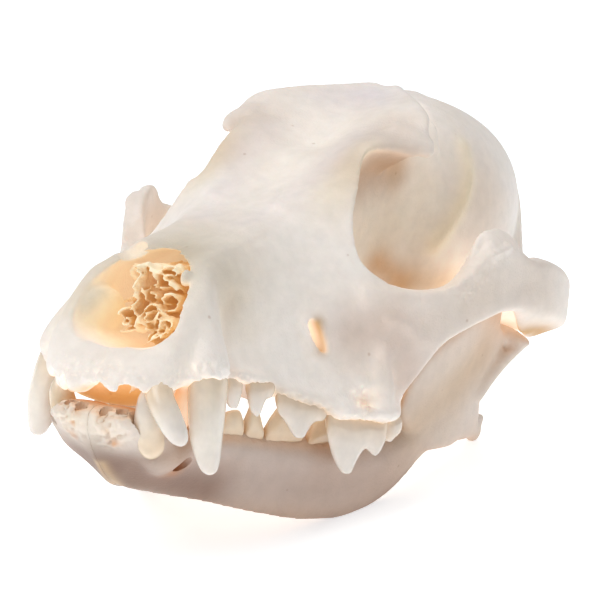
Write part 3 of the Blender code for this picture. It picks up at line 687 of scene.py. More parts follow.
class Recipe:
    """A material's node tree, and the few steps that the finishes share."""

    def __init__(self, name: str) -> None:
        """Start an empty material.

        Args:
            name: The material's name.
        """
        self.material = bpy.data.materials.new(name)
        self.material.use_nodes = True
        self.tree = self.material.node_tree
        self.tree.nodes.clear()
        self.place = add_node(self.tree, "ShaderNodeTexCoord").outputs["Object"]

    def painted(self, attribute: str, output: str) -> Socket:
        """What was painted on the piece's points under a name."""
        return add_node(self.tree, "ShaderNodeAttribute", {"attribute_name": attribute}).outputs[output]

    def clouds(self, size: float, detail: float) -> Socket:
        """Soft noise with lumps of a size in millimetres."""
        values = {"Scale": 1 / (size * MM), "Detail": detail}
        return add_node(self.tree, "ShaderNodeTexNoise", {}, values, {"Vector": self.place}).outputs["Fac"]

    def cells(self, spacing: float) -> Socket:
        """Distance from the nearest of many points, whose spacing is in millimetres."""
        values = {"Scale": 1 / (spacing * MM)}
        return add_node(self.tree, "ShaderNodeTexVoronoi", {}, values, {"Vector": self.place}).outputs["Distance"]

    def ramp(self, value: Socket, start: float, end: float, first: float, last: float) -> Socket:
        """A value turned to a run from first to last between start and end."""
        values = {"From Min": start, "From Max": end, "To Min": first, "To Max": last}
        return add_node(self.tree, "ShaderNodeMapRange", {}, values, {"Value": value}).outputs["Result"]

    def tinted(self, base: Socket, share: Socket, colour_hex: str) -> Socket:
        """A colour multiplied by a sRGB hex colour, by a share from 0 to 1.

        Args:
            base: The colour.
            share: How much of the tint it gets.
            colour_hex: The tint.

        Returns:
            The new colour.
        """
        settings = {"data_type": "RGBA", "blend_type": "MULTIPLY"}
        values = {7: (*linear(colour_hex), 1)}
        return add_node(self.tree, "ShaderNodeMix", settings, values, {0: share, 6: base}).outputs[2]

    def scaled(self, base: Socket, by: Socket) -> Socket:
        """A colour times a value."""
        links = {0: base, "Scale": by}
        return add_node(self.tree, "ShaderNodeVectorMath", {"operation": "SCALE"}, {}, links).outputs[0]

    def combined(self, how: str, one: Socket, other: Socket) -> Socket:
        """Two values, added or multiplied."""
        return add_node(self.tree, "ShaderNodeMath", {"operation": how}, {}, {0: one, 1: other}).outputs[0]

    def bump(self, height: Socket, strength: float, depth: float) -> Socket:
        """A relief whose depth is in millimetres."""
        values = {"Strength": strength, "Distance": depth * MM}
        return add_node(self.tree, "ShaderNodeBump", {}, values, {"Height": height}).outputs["Normal"]

    def finish(self, values: dict[str, object], links: dict[str, Socket]) -> bpy.types.Material:
        """Close the material with its surface.

        Args:
            values: The surface's constants.
            links: The sockets that feed it.

        Returns:
            The material.
        """
        shader = add_node(self.tree, "ShaderNodeBsdfPrincipled", {}, values, links)
        add_node(self.tree, "ShaderNodeOutputMaterial", {}, {}, {"Surface": shader.outputs[0]})
        return self.material


@dataclass(frozen=True)
class DryBone:
    """Bone that was boiled, degreased and bleached: matt and chalky, with a faint waxy sheen where it is dense.

    Its colour comes from the piece's stains and painted shade. Clouds of old grease and pores break it up, and its
    hollows get painted shade, warmer and darker, and a painted glow that stands in for light through thin bone.

    Args:
        name: The material's name.
        hollow: The sRGB hex colour of the shade in its hollows.
        hollow_share: How strongly that shade covers.
        reach: How far across a hollow is, in millimetres.
        roughness: The roughness of its surface.
        glow: How bright the painted glow in its hollows is, standing in for light through thin bone.
        lift: How bright the painted glow is everywhere.
        cloud_size: The size of its grease clouds, in millimetres.
        mottle_size: The size of its mottle.
        pore_size: The size of its pores.
        depth: The depth of its relief.
        grease: The sRGB hex colour of its grease clouds.
        pit: The sRGB hex colour of the pits of its blood vessels.
        pit_spacing: How far apart those pits are.
        crumb_size: The size of the crumbs where it is rough.
        glow_until: Where along the table, in metres, the painted glow begins to fade and is gone.
    """

    name: str
    hollow: str
    hollow_share: float
    reach: float
    roughness: float
    glow: float
    lift: float = 0.0
    cloud_size: float = 17.0
    mottle_size: float = 3.2
    pore_size: float = 0.55
    depth: float = 0.2
    grease: str = "#F6E8D2"
    pit: str = "#B58F70"
    pit_spacing: float = 8.0
    crumb_size: float = 1.1
    glow_until: tuple[float, float] = (0.035, 0.06)

    def material(self) -> bpy.types.Material:
        """Build the material.

        Returns:
            The material.
        """
        mix = Recipe(self.name)
        stain, rough = mix.painted(TINT, "Color"), mix.painted(ROUGH, "Fac")
        warm = mix.ramp(mix.clouds(self.cloud_size, 3.0), 0.42, 0.72, 0.0, 0.2)
        mottle = mix.clouds(self.mottle_size, 5.0)
        mottled = mix.scaled(mix.tinted(stain, warm, self.grease), mix.ramp(mottle, 0.3, 0.7, 0.95, 1.03))
        # painted shade: hollows get a warm, darker tint
        settings = {"samples": 8, "only_local": False}
        values = {"Distance": self.reach * MM}
        hollow = add_node(mix.tree, "ShaderNodeAmbientOcclusion", settings, values).outputs["AO"]
        coloured = mix.tinted(mottled, mix.ramp(hollow, 0.15, 0.92, self.hollow_share, 0.0), self.hollow)
        spotted = mix.tinted(coloured, mix.ramp(mix.cells(self.pit_spacing), 0.03, 0.062, 0.32, 0.0), self.pit)
        # painted glow: emission lights the hollows of the face bright and golden in place of light through thin bone;
        # it fades out at the thick braincase
        painted_glow_share = mix.ramp(hollow, 0.5, 0.95, self.glow + self.lift, self.lift)
        along = add_node(mix.tree, "ShaderNodeSeparateXYZ", {}, {}, {"Vector": mix.place}).outputs["Y"]
        glow = mix.scaled(coloured, mix.combined("MULTIPLY", painted_glow_share, mix.ramp(along, *self.glow_until, 1.0, 0.0)))
        # the pores are drawn a little coarser than the real ones so that they show
        crumbs = mix.combined("MULTIPLY", mix.cells(self.crumb_size), rough)
        relief = mix.combined("ADD", mix.combined("ADD", mix.clouds(self.pore_size, 4.0), crumbs), mottle)
        return mix.finish(
            {
                "Roughness": self.roughness,
                "IOR": 1.5,
                "Specular IOR Level": 0.35,
                "Subsurface Weight": 0.12,
                "Subsurface Scale": 0.0015,
                "Subsurface Radius": (1.0, 0.55, 0.35),
                "Emission Strength": 1.0,
            },
            {"Base Color": spotted, "Emission Color": glow, "Normal": mix.bump(relief, 0.6, self.depth)},
        )


@dataclass(frozen=True)
class Enamel:
    """Tooth enamel: dense, ivory and glossy, with fine clouds along the crown and a tip where light passes.

    Args:
        name: The material's name.
        roughness: The roughness of its surface.
        cloud_size: The size of its clouds, in millimetres.
    """

    name: str
    roughness: float
    cloud_size: float = 2.6

    def material(self) -> bpy.types.Material:
        """Build the material.

        Returns:
            The material.
        """
        mix = Recipe(self.name)
        clouds = mix.clouds(self.cloud_size, 4.0)
        coloured = mix.scaled(mix.painted(TINT, "Color"), mix.ramp(clouds, 0.3, 0.7, 0.94, 1.04))
        return mix.finish(
            {
                "Roughness": self.roughness,
                "IOR": 1.62,
                "Subsurface Weight": 0.25,
                "Subsurface Scale": 0.0012,
                "Subsurface Radius": (1.0, 0.75, 0.5),
                "Coat Weight": 0.25,
                "Coat Roughness": 0.15,
            },
            {"Base Color": coloured, "Normal": mix.bump(clouds, 0.12, 0.1)},
        )


@dataclass(frozen=True)
class Workshop:
    """The finishes that the skull's pieces share."""

    bone: bpy.types.Material
    jaw_bone: bpy.types.Material
    scroll_bone: bpy.types.Material
    enamel: bpy.types.Material

    @classmethod
    def open(cls) -> "Workshop":
        """Mix the finishes.

        Returns:
            The workshop with its finishes.
        """
        # each bone gets painted shade in its hollows and a painted glow: strong in the hollows of the face, faint on
        # the jaw, even all over the nose scrolls
        jaw = DryBone("bleached_jaw_bone", "#DCC3AA", hollow_share=0.7, reach=18.0, roughness=0.52, glow=0.06)
        scrolls = DryBone(
            "thin_nasal_bone", "#D3A75A", hollow_share=0.9, reach=3.6, roughness=0.6, glow=0.0, lift=0.27,
            cloud_size=6.0, mottle_size=1.6, pore_size=0.4,
        )
        skull = DryBone("bleached_bone", "#F0DFC0", hollow_share=0.6, reach=20.0, roughness=0.5, glow=0.56)
        return cls(
            bone=skull.material(),
            jaw_bone=jaw.material(),
            scroll_bone=scrolls.material(),
            enamel=Enamel("ivory_enamel", roughness=0.22).material(),
        )

    def dress(self, piece: Piece, material: bpy.types.Material, nodes: Sequence[str]) -> None:
        """Set a finished piece in the photograph's pose, attach it to the frame's root and hide the frame's parts
        that it stands for.

        Args:
            piece: The piece, still in the skull's own frame.
            material: Its finish.
            nodes: The frame's nodes that it stands for.
        """
        piece.data.materials.clear()
        piece.data.materials.append(material)
        piece.data.transform(POSE)
        piece.data.shade_smooth()
        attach(piece, "root")
        if nodes:
            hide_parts(*nodes)
        triangles = sum(len(polygon.vertices) - 2 for polygon in piece.data.polygons)
        LOG.info("%s: %d triangles", piece.name, triangles)


@dataclass(frozen=True)
class Face:
    """The muzzle: roof of the nose, cheeks, tooth rows and palate."""

    first_y: float = -1.0
    last_y: float = 68.0
    spacing: float = 1.5
    roof: Line = Line(
        (-1, 1), (3.7, 7), (10, 13.4), (16.5, 20), (23.2, 26.4), (31, 28.7), (38, 30.8), (46, 33.3), (55, 36.5),
        (63, 39.8), (71, 43.3), (80, 47.4), (88, 51.6), (97, 56.6), (106, 60.5), (112, 62.8), (119, 64.7),
        (128, 64.8), (140, 63.7),
    )
    shoulder_x: Line = Line(
        (-1, 4), (4, 9.8), (11, 12.7), (16.5, 12.6), (23, 10.9), (31, 10), (38, 9.9), (46, 10.8), (55, 13.2),
        (60, 16.4), (64, 19.4), (68, 21.4),
    )
    shoulder_z: Line = Line(
        (-1, 0.6), (4, 7.4), (11, 16.6), (16.5, 21.2), (23, 25.7), (31, 28.3), (38, 30), (46, 31.9), (55, 33.9),
        (60, 35), (64, 37), (68, 40.5),
    )
    cheek_x: Line = Line(
        (-1, 6), (4, 13.6), (10, 16), (16, 16.6), (22, 15.9), (29, 15.8), (38, 17.8), (46, 20.8), (52, 23.6),
        (57, 26), (62, 28.3), (68, 31),
    )
    cheek_z: Line = Line(
        (-1, 0), (4, 4), (10, 9), (16, 12), (29, 14), (46, 15.5), (57, 19.5), (62, 22.5), (68, 25)
    )
    margin_x: Line = Line(
        (-1, 6.5), (1, 10), (5, 14.2), (10, 17), (15, 19.6), (20, 19.4), (26, 18.6), (34, 20), (40, 23.2), (46, 26),
        (52, 29.4), (58, 32.4), (64, 35), (68, 36.4),
    )
    margin_z: Line = Line(
        (-1, -1.4), (5, -0.6), (10, 1.4), (15, 2.6), (21, 2), (26, 1.4), (33, 1), (37, -0.2), (40, -2), (46, -3.6),
        (52, -4.9), (58, -5.3), (64, -6), (68, -6.8),
    )
    palate: Line = Line((-1, -0.5), (4, 0.8), (12, 2.2), (26, 2.6), (40, 0.8), (55, -1.4), (70, -3), (82, -3.6))

    def ring(self, y: float) -> list[tuple[float, float, float]]:
        """The face's section at y.

        Args:
            y: Where the section lies.

        Returns:
            The section's points.
        """
        top, wide, high = self.roof(y), self.shoulder_x(y), self.shoulder_z(y)
        cheek, level = self.cheek_x(y), self.cheek_z(y)
        rim, low = self.margin_x(y), self.margin_z(y)
        half = [
            (wide * 0.5, (top + high) / 2 + 0.5),
            (wide, high),
            ((wide + cheek) / 2 + 0.6, (high + level) / 2 + 0.6),
            (cheek, level),
            ((rim + cheek) / 2, (low + level) / 2),
            (rim, low + 1.4),
            (rim - 1.8, low - 0.3),
            (max(rim - 8.0, rim * 0.5), self.palate(y) * 0.4 + low * 0.6),
            (max(rim - 11.0, rim * 0.35), self.palate(y)),
        ]
        corners = [(0, top)] + half + [(0, self.palate(y))] + [(-x, z) for x, z in reversed(half)]
        return [(x, y, z) for x, z in rounded(corners)]

    def build(self) -> Piece:
        """The face's solid."""
        return loft("face", [self.ring(y) for y in np.arange(self.first_y, self.last_y + 0.1, self.spacing)])


@dataclass(frozen=True)
class Forehead:
    """The frontal shield, two low domes beside a median groove, over the rims of the eye sockets."""

    face: Face
    first_y: float = 56.0
    last_y: float = 121.0
    rings: int = 44
    brow_x: Line = Line(
        (56, 12.6), (64, 19.2), (69, 21.6), (73, 21.2), (76.5, 20.2), (80, 20.6), (85, 22.6), (89, 25.3), (92, 25.6),
        (96, 24), (101, 20), (106, 15.6), (111, 11.2), (116, 6.6), (121, 3.2),
    )
    brow_z: Line = Line(
        (56, 33.5), (64, 37.6), (69, 41.6), (73, 46.8), (76.5, 50.2), (80, 51.3), (85, 52.2), (89, 52), (92, 54.4),
        (96, 58.2), (101, 60), (106, 61.4), (111, 62.4), (116, 63.4), (121, 64),
    )
    dome: Line = Line((56, 0.4), (66, 1.6), (76, 4.6), (84, 6.2), (92, 6), (100, 3.8), (110, 1), (121, 0))
    # the right brow's share of the left one's width
    right_share: Line = Line((56, 1), (64, 0.96), (70, 0.88), (78, 0.86), (84, 0.91), (89, 0.99), (121, 1))

    def ring(self, y: float) -> list[tuple[float, float, float]]:
        """The shield's section at y.

        Args:
            y: Where the section lies.

        Returns:
            The section's points.
        """
        wide, edge, roof, dome = self.brow_x(y), self.brow_z(y), self.face.roof(y), self.dome(y)
        half = [
            (wide * 0.35, roof + dome * 0.45),
            (wide * 0.68, max(roof, edge) * 0.5 + (roof + dome) * 0.5 + 0.6),
            (wide * 0.9, edge + 2.2 - abs(y - 89) * 0.02),
            (wide, edge),
            (wide * 0.9, edge - 2.6),
            (wide * 0.6, edge - 7.0),
        ]
        share = self.right_share(y)
        corners = [(0, roof)] + half + [(0, roof - 12)] + [(-x * share, z) for x, z in reversed(half)]
        return [(x, y, z) for x, z in rounded(corners)]

    def build(self) -> Piece:
        """The shield's solid."""
        return loft("forehead", [self.ring(y) for y in np.linspace(self.first_y, self.last_y, self.rings)])


@dataclass(frozen=True)
class BrainCase:
    """The braincase with its crests, ear bones and the joint of the neck."""

    waist_z: float = 37.0
    squareness: float = 2.12
    wide: Line = Line(
        (92, 14), (98, 16), (104, 17.6), (109, 20.4), (114, 22.8), (120, 24.7), (127, 26), (134, 26.3), (140, 26),
        (146, 25.1), (152, 23.5), (158, 21), (163, 18.2), (168, 14.2), (171, 10.5),
    )
    base: Line = Line((92, 12), (104, 9.6), (130, 9), (150, 9.6), (158, 11.5), (165, 17), (171, 30))
    top: Line = Line(
        (92, 51), (98, 54), (106, 58.6), (112, 61.2), (119, 63.4), (128, 63.8), (140, 62.6), (150, 60.6), (160, 57),
        (167, 52.8), (171, 47),
    )
    first_y: float = 92.0
    last_y: float = 171.0
    rings: int = 40
    parts: tuple[Rod | Oval, ...] = (
        Oval("ear bone", (15, 142, 8), (8.6, 12, 8.6), (0, 0, -12)),
        Oval("jaw pit", (34, 122.5, 17.2), (11, 8, 4)),
        Oval("mastoid", (22, 150.5, 19), (6, 7.5, 8.5)),
        Oval("neck condyle", (10, 167, 15), (5.2, 7, 8), (0, 18, 0)),
        Rod("postglenoid", (
            (33, 128, 16, 6.5, 3), (32.5, 128.2, 11, 5.4, 2.2), (32, 127.4, 6.6, 2.6, 1.2),
        ), count=10),
        Rod("paroccipital", (
            (20, 157, 16, 4.5, 4), (20.5, 158.5, 8, 3.4, 2.6), (20, 157.5, 0.5, 1.6, 1.4),
        ), count=10),
        Rod("nuchal crest", (
            (-1, 170.6, 50.4, 2.6, 3.2), (8, 168.8, 48.4, 2.2, 3.2), (15.4, 163.6, 41, 2, 3.2),
            (20.6, 157, 31, 2, 3.2), (24.4, 152, 20, 2.2, 3.2),
        ), count=20, across=(0, 1, 0)),
        Rod("sagittal crest", (
            (0, 120, 62.6, 1.8, 1.4), (0, 132, 62.6, 1.5, 1.8), (0, 146, 60.2, 1.4, 2.4), (0, 158, 56.4, 1.5, 3),
            (0, 168, 51.5, 2, 3.2),
        ), count=20, paired=False),
        Oval("skull base", (0, 157, 14), (11, 15, 5), paired=False),
    )

    def ring(self, y: float, sides: int = 48) -> list[tuple[float, float, float]]:
        """The braincase's section at y, a little squarer than an ellipse.

        Args:
            y: Where the section lies.
            sides: How many points it gets.

        Returns:
            The section's points.
        """
        top, base, wide = self.top(y), self.base(y), self.wide(y)
        waist = min(self.waist_z, (top + base) / 2 + 2)
        power = 2 / self.squareness
        ring = []
        for a in np.arange(sides) * 2 * math.pi / sides:
            across = math.copysign(abs(math.cos(a)) ** power, math.cos(a))
            up = math.copysign(abs(math.sin(a)) ** power, math.sin(a))
            ring.append((wide * across, y, waist + up * (top - waist if up > 0 else waist - base)))
        return ring

    def build(self) -> list[Piece]:
        """The solids of the back of the skull."""
        stations = np.linspace(self.first_y, self.last_y, self.rings)
        return [loft("brain", [self.ring(y) for y in stations]), *cast(self.parts)]


@dataclass(frozen=True)
class CheekArch:
    """The cheek arch, a tall curved plate from the molars to the temple, on one side."""

    side: Side
    rings: int = 90
    # outer x, y, thickness
    stations: Rows = (
        (29, 60, 11), (33, 64.4, 10), (36.8, 69, 8.6), (41.4, 74.8, 6.6), (44.8, 80, 5.6), (46.8, 83.4, 5.2),
        (48, 86.2, 5), (49, 89.2, 4.8), (50, 92.6, 4.4), (51.1, 96.6, 4.2), (52, 101, 5.2), (52.8, 106, 7.4),
        (53.4, 111, 9.2), (53.4, 115, 10.6), (53, 118.6, 11), (51.6, 122.2, 11), (48.4, 126, 8.6), (43, 128.6, 7.6),
        (36, 129.8, 8.6), (26, 130, 10),
    )
    # lower edge of the outer face, then of the inner one
    low: Line = Line(
        (60, 0), (64.4, -4.6), (68.6, -3.2), (70.2, 0.2), (72.4, 4), (74.8, 8.3), (76.6, 10.8), (79.6, 13),
        (83.6, 15.4), (86.6, 16.6), (89.4, 17.7), (92.6, 18.4), (96.6, 18.8), (101, 18.6), (106, 18), (112, 17),
        (117, 15.8), (121, 14.8), (130, 13),
    )
    inner_low: Line = Line(
        (60, 0), (64.4, -4.6), (68.6, -3.2), (70.2, 0.4), (72.4, 4.6), (74.8, 9.2), (79.6, 13.8), (86.6, 17.2),
        (92.6, 18.6), (97, 18.2), (100, 15.6), (103, 13.2), (107, 11.8), (112, 11.2), (118, 10.4), (122, 10.2),
        (126, 10.4), (130, 11.2),
    )
    # ridge along the top of the outer face
    crest: Line = Line(
        (60, 22.6), (69, 21.4), (74.8, 22.8), (78.2, 24.2), (81.8, 27), (84, 30.2), (86, 32), (90.8, 32.6),
        (98.4, 30.4), (102.6, 29.6), (106, 29.8), (112.5, 28.8), (117.5, 27), (122.2, 24.8), (130, 21.4),
    )
    # the top edge, which stands inside the ridge
    left_top: Line = Line(
        (60, 23.6), (69, 22.6), (74.8, 23.6), (78, 24.6), (80.4, 29.2), (82.8, 34.4), (85.4, 36.6), (89, 37.2),
        (92.2, 36.6), (95.6, 33.6), (99, 31.2), (102, 30), (106, 30.4), (112.5, 29.2), (117.5, 27.4), (122.2, 25.2),
        (126, 23), (130, 21.4),
    )
    right_top: Line = Line(
        (60, 23.6), (69, 22.6), (74.8, 23.8), (79, 27), (84, 31.6), (88, 33.4), (92, 35), (96, 35.8), (99, 34.6),
        (101.4, 31.4), (106, 30.2), (112.5, 29.2), (117.5, 27.4), (122.2, 25.2), (126, 23), (130, 21.4),
    )

    def ring(self, place: np.ndarray, inward: np.ndarray, thick: float) -> np.ndarray:
        """The arch's section.

        Args:
            place: The x and y of its outer face.
            inward: The direction across the plate.
            thick: The plate's thickness.

        Returns:
            The section's points.
        """
        y = place[1]
        upper = self.left_top if self.side is Side.LEFT else self.right_top
        top, low, inner_low = upper(y), self.low(y), self.inner_low(y)
        crest = min(self.crest(y), top - 0.4)
        corners = [
            (0.1, (crest * 0.8 + low * 0.2)),
            (0.35, crest - 0.3),
            (thick * 0.42, (crest + top) / 2 + 0.2),
            (thick * 0.74, top),
            (thick * 0.98, top - 1.4),
            (thick, (top + inner_low) / 2),
            (thick * 0.86, inner_low + 0.5),
            (thick * 0.5, (low + inner_low) / 2 - 0.2),
            (thick * 0.2, low * 0.75 + inner_low * 0.25),
            (0.3, low),
            (0.0, low + 0.8),
            (0.0, (crest + low) / 2 - 0.12 * (crest - low)),
        ]
        ring = [(*(place + inward * across), up) for across, up in rounded(corners)]
        return np.array(ring) * [self.side.value, 1, 1]

    def build(self) -> Piece:
        """The arch's solid.

        Returns:
            The new piece.
        """
        rows = spread(self.stations, self.rings)
        rings = []
        for i, (x, y, thick) in enumerate(rows):
            along = rows[min(i + 1, len(rows) - 1), :2] - rows[max(i - 1, 0), :2]
            along /= np.linalg.norm(along)
            rings.append(self.ring(np.array([x, y]), np.array([-along[1], along[0]]), thick))
        return loft("arch", rings)


@dataclass(frozen=True)
class EyeSocket:
    """The hollow of the eye, a funnel that narrows inwards from its rim."""

    rim: Rows = (
        (26.8, 91, 48.4), (24.6, 88.4, 50.4), (22.4, 84.6, 51.2), (20.4, 80.4, 51.4), (19.2, 76.4, 51),
        (18.9, 73.4, 49), (20, 70, 42.6), (21.3, 66.4, 36.6), (23.2, 64.4, 31.6), (26.2, 63.4, 27.2),
        (30.4, 65.6, 24), (35, 68.8, 22.2), (39.6, 72.2, 22.2), (43.2, 76, 24), (45.2, 79.6, 29), (46.4, 83, 37.5),
        (44, 91, 43.5), (35, 93, 48),
    )
    # shift from the rim and size of each further ring
    steps: tuple[tuple[Place, float], ...] = (
        ((11, -8, 8), 1.1),
        ((0, 0, 0), 1),
        ((-2.6, 3.6, -0.8), 0.97),
        ((-6.4, 8.4, -2.4), 0.8),
        ((-10, 13, -4), 0.5),
        ((-12, 15.6, -5), 0.2),
    )

    def build(self, side: Side) -> Piece:
        """The hollow's solid on one side.

        Args:
            side: The side.

        Returns:
            The new piece.
        """
        rim = rounded(self.rim)
        middle = rim.mean(axis=0)
        turn = np.array([side.value, 1, 1])
        rings = [(middle + (rim - middle) * size + np.array(shift)) * turn for shift, size in self.steps]
        return loft("socket", rings)


@dataclass
class Cranium:
    """The skull without its lower jaw, as one skin from the empty incisor sockets to the neck's joint."""

    voxel: float = 0.62
    triangles: int = 190000
    first_smoothing: int = 16
    last_smoothing: int = 5
    wall_y: tuple[float, float] = (50, 112)
    wall_rings: int = 30
    ground: str = "#F8F0E9"
    face: Face = field(default_factory=Face)
    nose_rows: Rows = (
        (0, -6, 22, 13, 12), (0, 6, 18.4, 12.4, 11.2), (0, 12, 16.8, 11.8, 10.4), (0, 20, 16.8, 11.4, 10.4),
        (0, 25, 16.9, 11.3, 10.1), (0, 31, 17, 11.2, 9.4), (0, 42, 18, 11, 9.5), (0, 52, 19, 8, 7.5),
    )
    nose_corner: Rows = (
        (6.4, -6, 13.6, 6.2, 5.6), (6.4, 8, 13.4, 6.3, 5.6), (6.2, 12, 14.6, 6.2, 6), (5.6, 19, 16, 4.4, 5),
    )
    corner_mirror: float = 1.2
    # what stands out from the plain face and braincase
    swells: tuple[Rod | Oval, ...] = (
        Rod("molar shelf", (
            (25, 58, 2, 6, 5), (27.5, 65, 0.6, 8, 6.8), (27.5, 71, 0.6, 8, 6.8), (27, 77, 1.6, 7, 6),
            (26.4, 82, 3, 3.4, 3.4),
        ), count=16, sides=18),
        # bone over the root of the canine and of the last tooth, and the swollen edge that holds the cheek teeth
        Rod("canine root", (
            (12.6, 21, 16, 3.2, 4), (14.6, 18, 10.6, 4.2, 5), (16.6, 16, 6.6, 4.6, 5.6), (17.7, 15.2, 4.4, 4.6, 5.6),
            (17.9, 15, 2.9, 4.6, 5.6),
        ), count=18, sides=20),
        Rod("molar root", (
            (34, 65, -4, 2.2, 2.4), (33.2, 65.4, 1, 2.3, 2.4), (31.8, 66, 6, 1.8, 2),
        ), count=8, sides=16),
        Rod("gum ridge", (
            (17.4, 23, 3.6, 2, 2.2), (18.6, 29, 2.8, 2.3, 1.8), (19.6, 37, 1.6, 2.5, 1.8), (22.2, 41, -0.4, 2.6, 1.9),
            (26.6, 50, -2.6, 2.8, 1.9), (29.2, 54, -4.2, 3.2, 2), (33.6, 62, -4.7, 3.4, 2), (34.4, 67, -5, 3.4, 2),
            (31.6, 72, -4.8, 4, 2.2), (29, 77, -3, 3.4, 2),
        ), count=30, sides=16),
        # the torn front margin, where the incisors are gone, and the palate behind it
        Rod("front margin", (
            (-13, 7.6, 0.4, 1.8, 2.6), (-10.4, 5.6, -0.8, 1.8, 3), (-7.6, 4, -1.4, 1.7, 3.2),
            (-4.6, 2.8, -1.4, 1.5, 2.9), (-2, 2.2, 0, 1.3, 1.9), (0.6, 2, 1.4, 1.2, 1.2),
        ), count=14, across=(0, 0, 1), paired=False),
        Rod("palate ridge", (
            (-13, 15.6, -0.6, 4.2, 4.6), (-8, 16, -1.8, 4.1, 4.8), (-3, 16, -1.9, 4.1, 4.8), (3, 16, -1.2, 4, 4.8),
            (7.6, 15.6, 0.2, 3.8, 4.8),
        ), count=12, across=(0, 0, 1), paired=False),
        Oval("socket wall", (6.2, 7.4, -1.6), (2.2, 1.6, 3.6), paired=False),
        Oval("right socket", (-18.4, 14.8, 1), (4, 4.8, 2.8), paired=False),
        Oval("right lip", (-9.6, 8.4, -1.4), (2.8, 2.2, 2.8), paired=False),
        Oval("between teeth", (14, 12.8, -3.6), (2.7, 2.2, 5.4), paired=False),
        Rod("postorbital", (
            (17, 91, 54, 4, 5.4), (22, 91.4, 53.6, 3, 4.2), (24.8, 91.6, 52.4, 2.4, 3), (26.4, 91.3, 51, 1.6, 1.8),
            (26.9, 91.1, 50.2, 0.8, 0.9),
        ), count=12, across=(0, 0, 1)),
        Rod("pterygoid", (
            (10.5, 74, 4, 2.6, 7.5), (9.6, 84, 4.5, 1.6, 8), (9.2, 94, 5.5, 1.5, 7.5), (9.4, 102, 6.5, 1.5, 6),
        ), count=16),
    )
    # what is added inside the hollows once they are cut
    late_swells: tuple[Rod | Oval, ...] = (
        Rod("tear duct", (
            (20.2, 74.6, 29.6, 1.6, 1.8), (21.6, 75.8, 26.8, 1.8, 1.8), (24.4, 77.4, 24.6, 1.8, 1.8),
            (28, 79, 22.8, 1.8, 1.8),
        ), count=12),
        Oval("nose bulge", (-11, 17.6, 12.4), (4.2, 7.4, 5.8), (0, 12, -8), paired=False),
        Oval("nose knob", (8.9, 17.8, 22.4), (0.9, 2.2, 2), paired=False),
    )
    openings: tuple[Rod | Oval, ...] = (
        Rod("choana", (
            (0, 72, 5.5, 6.4, 3.4), (0, 86, 4.5, 7.2, 5.4), (0, 104, 2, 7.4, 6.6),
        ), count=12, sides=20, paired=False),
        Oval("neck hole", (0, 172, 21.5), (7.4, 10, 6.8), paired=False),
        Oval("ear opening", (25, 141, 15), (7, 2.6, 2.6)),
        Oval("cheek foramen", (24.8, 50.8, 11.2), (5, 1.1, 4.4), (24, 0, -14)),
        Oval("palate slot", (3.6, 14, 2.2), (1.5, 4.6, 2.6)),
    )
    notches: tuple[Oval, ...] = (
        Oval("nasal notch", (-8.4, 23, 26.4), (3.2, 5.4, 2.6), paired=False),
        Oval("nasal notch", (1.2, 23.6, 27.6), (1.5, 2, 2.4), paired=False),
    )
    # empty sockets of the upper incisors: x, y, half the width
    sockets: Rows = ((-12, 4.4, 1.5), (-7.4, 1.6, 1.1), (1.2, 4, 2.1), (7.2, 4.6, 3.3))
    # paths that are both carved and tinted
    canine_groove: Rows = ((15.4, 31.6, 19.4), (16.2, 29.3, 17.4), (17, 26.2, 14.6), (17.8, 24.6, 9.4), (19, 24, 3.6))
    side_ridge: Rows = ((20, 122, 51.8), (23, 121, 46.6), (24.5, 118.5, 41.4), (23.5, 115.5, 35.8), (21, 111.5, 29.6))
    wall_x: Line = Line((50, 15), (64, 16.5), (74, 15.6), (86, 15.2), (96, 16), (104, 17.6), (112, 20))
    wall_low_x: Line = Line((50, 17), (64, 18), (74, 13.5), (86, 11), (96, 10.5), (104, 12), (112, 15))
    wall_base: Line = Line((50, 4), (64, 4), (76, 8), (90, 10), (112, 9.5))

    def wall_ring(self, forehead: Forehead, y: float) -> list[tuple[float, float, float]]:
        """Section of the wall between the eye sockets at y.

        Args:
            forehead: The forehead over the wall.
            y: Where the section lies.

        Returns:
            The section's points.
        """
        top = forehead.brow_z(max(y, 56)) - 2
        half = [
            (self.wall_x(y) * 0.7, top),
            (self.wall_x(y), top - 8),
            ((self.wall_x(y) + self.wall_low_x(y)) / 2, 27),
            (self.wall_low_x(y), 17),
            (self.wall_low_x(y) * 0.7, self.wall_base(y) + 1),
        ]
        corners = [(0, top)] + half + [(0, self.wall_base(y))] + [(-x, z) for x, z in reversed(half)]
        return [(x, y, z) for x, z in rounded(corners)]

    def solids(self) -> list[Piece]:
        """The overlapping solids that make up the bone.

        Returns:
            The solids, not yet fused.
        """
        forehead = Forehead(self.face)
        pieces = [self.face.build(), forehead.build()]
        stations = np.linspace(*self.wall_y, self.wall_rings)
        pieces.append(loft("wall", [self.wall_ring(forehead, y) for y in stations]))
        pieces += BrainCase().build()
        pieces += [CheekArch(side).build() for side in Side]
        pieces += cast(self.swells)
        return pieces

    def hollows(self) -> list[Piece]:
        """The solids that are cut from the bone.

        Returns:
            The solids.
        """
        pieces = [sweep("nose", self.nose_rows, count=24, sides=36)]
        pieces += [EyeSocket().build(side) for side in Side]
        pieces += cast(self.openings)
        # the lower corners of the nose mirror each other about a line just left of the middle
        for corner in (self.nose_corner, [(self.corner_mirror - x, *rest) for x, *rest in self.nose_corner]):
            pieces.append(sweep("nose corner", corner, count=14, sides=18))
        pieces += cast(self.notches)
        for x, y, wide in self.sockets:
            socket = Oval("socket", (x, y, -1.6), (wide, y + 1, 2.7), (-14, 0, 0), paired=False, fineness=3)
            pieces.append(socket.on(Side.LEFT))
        return pieces

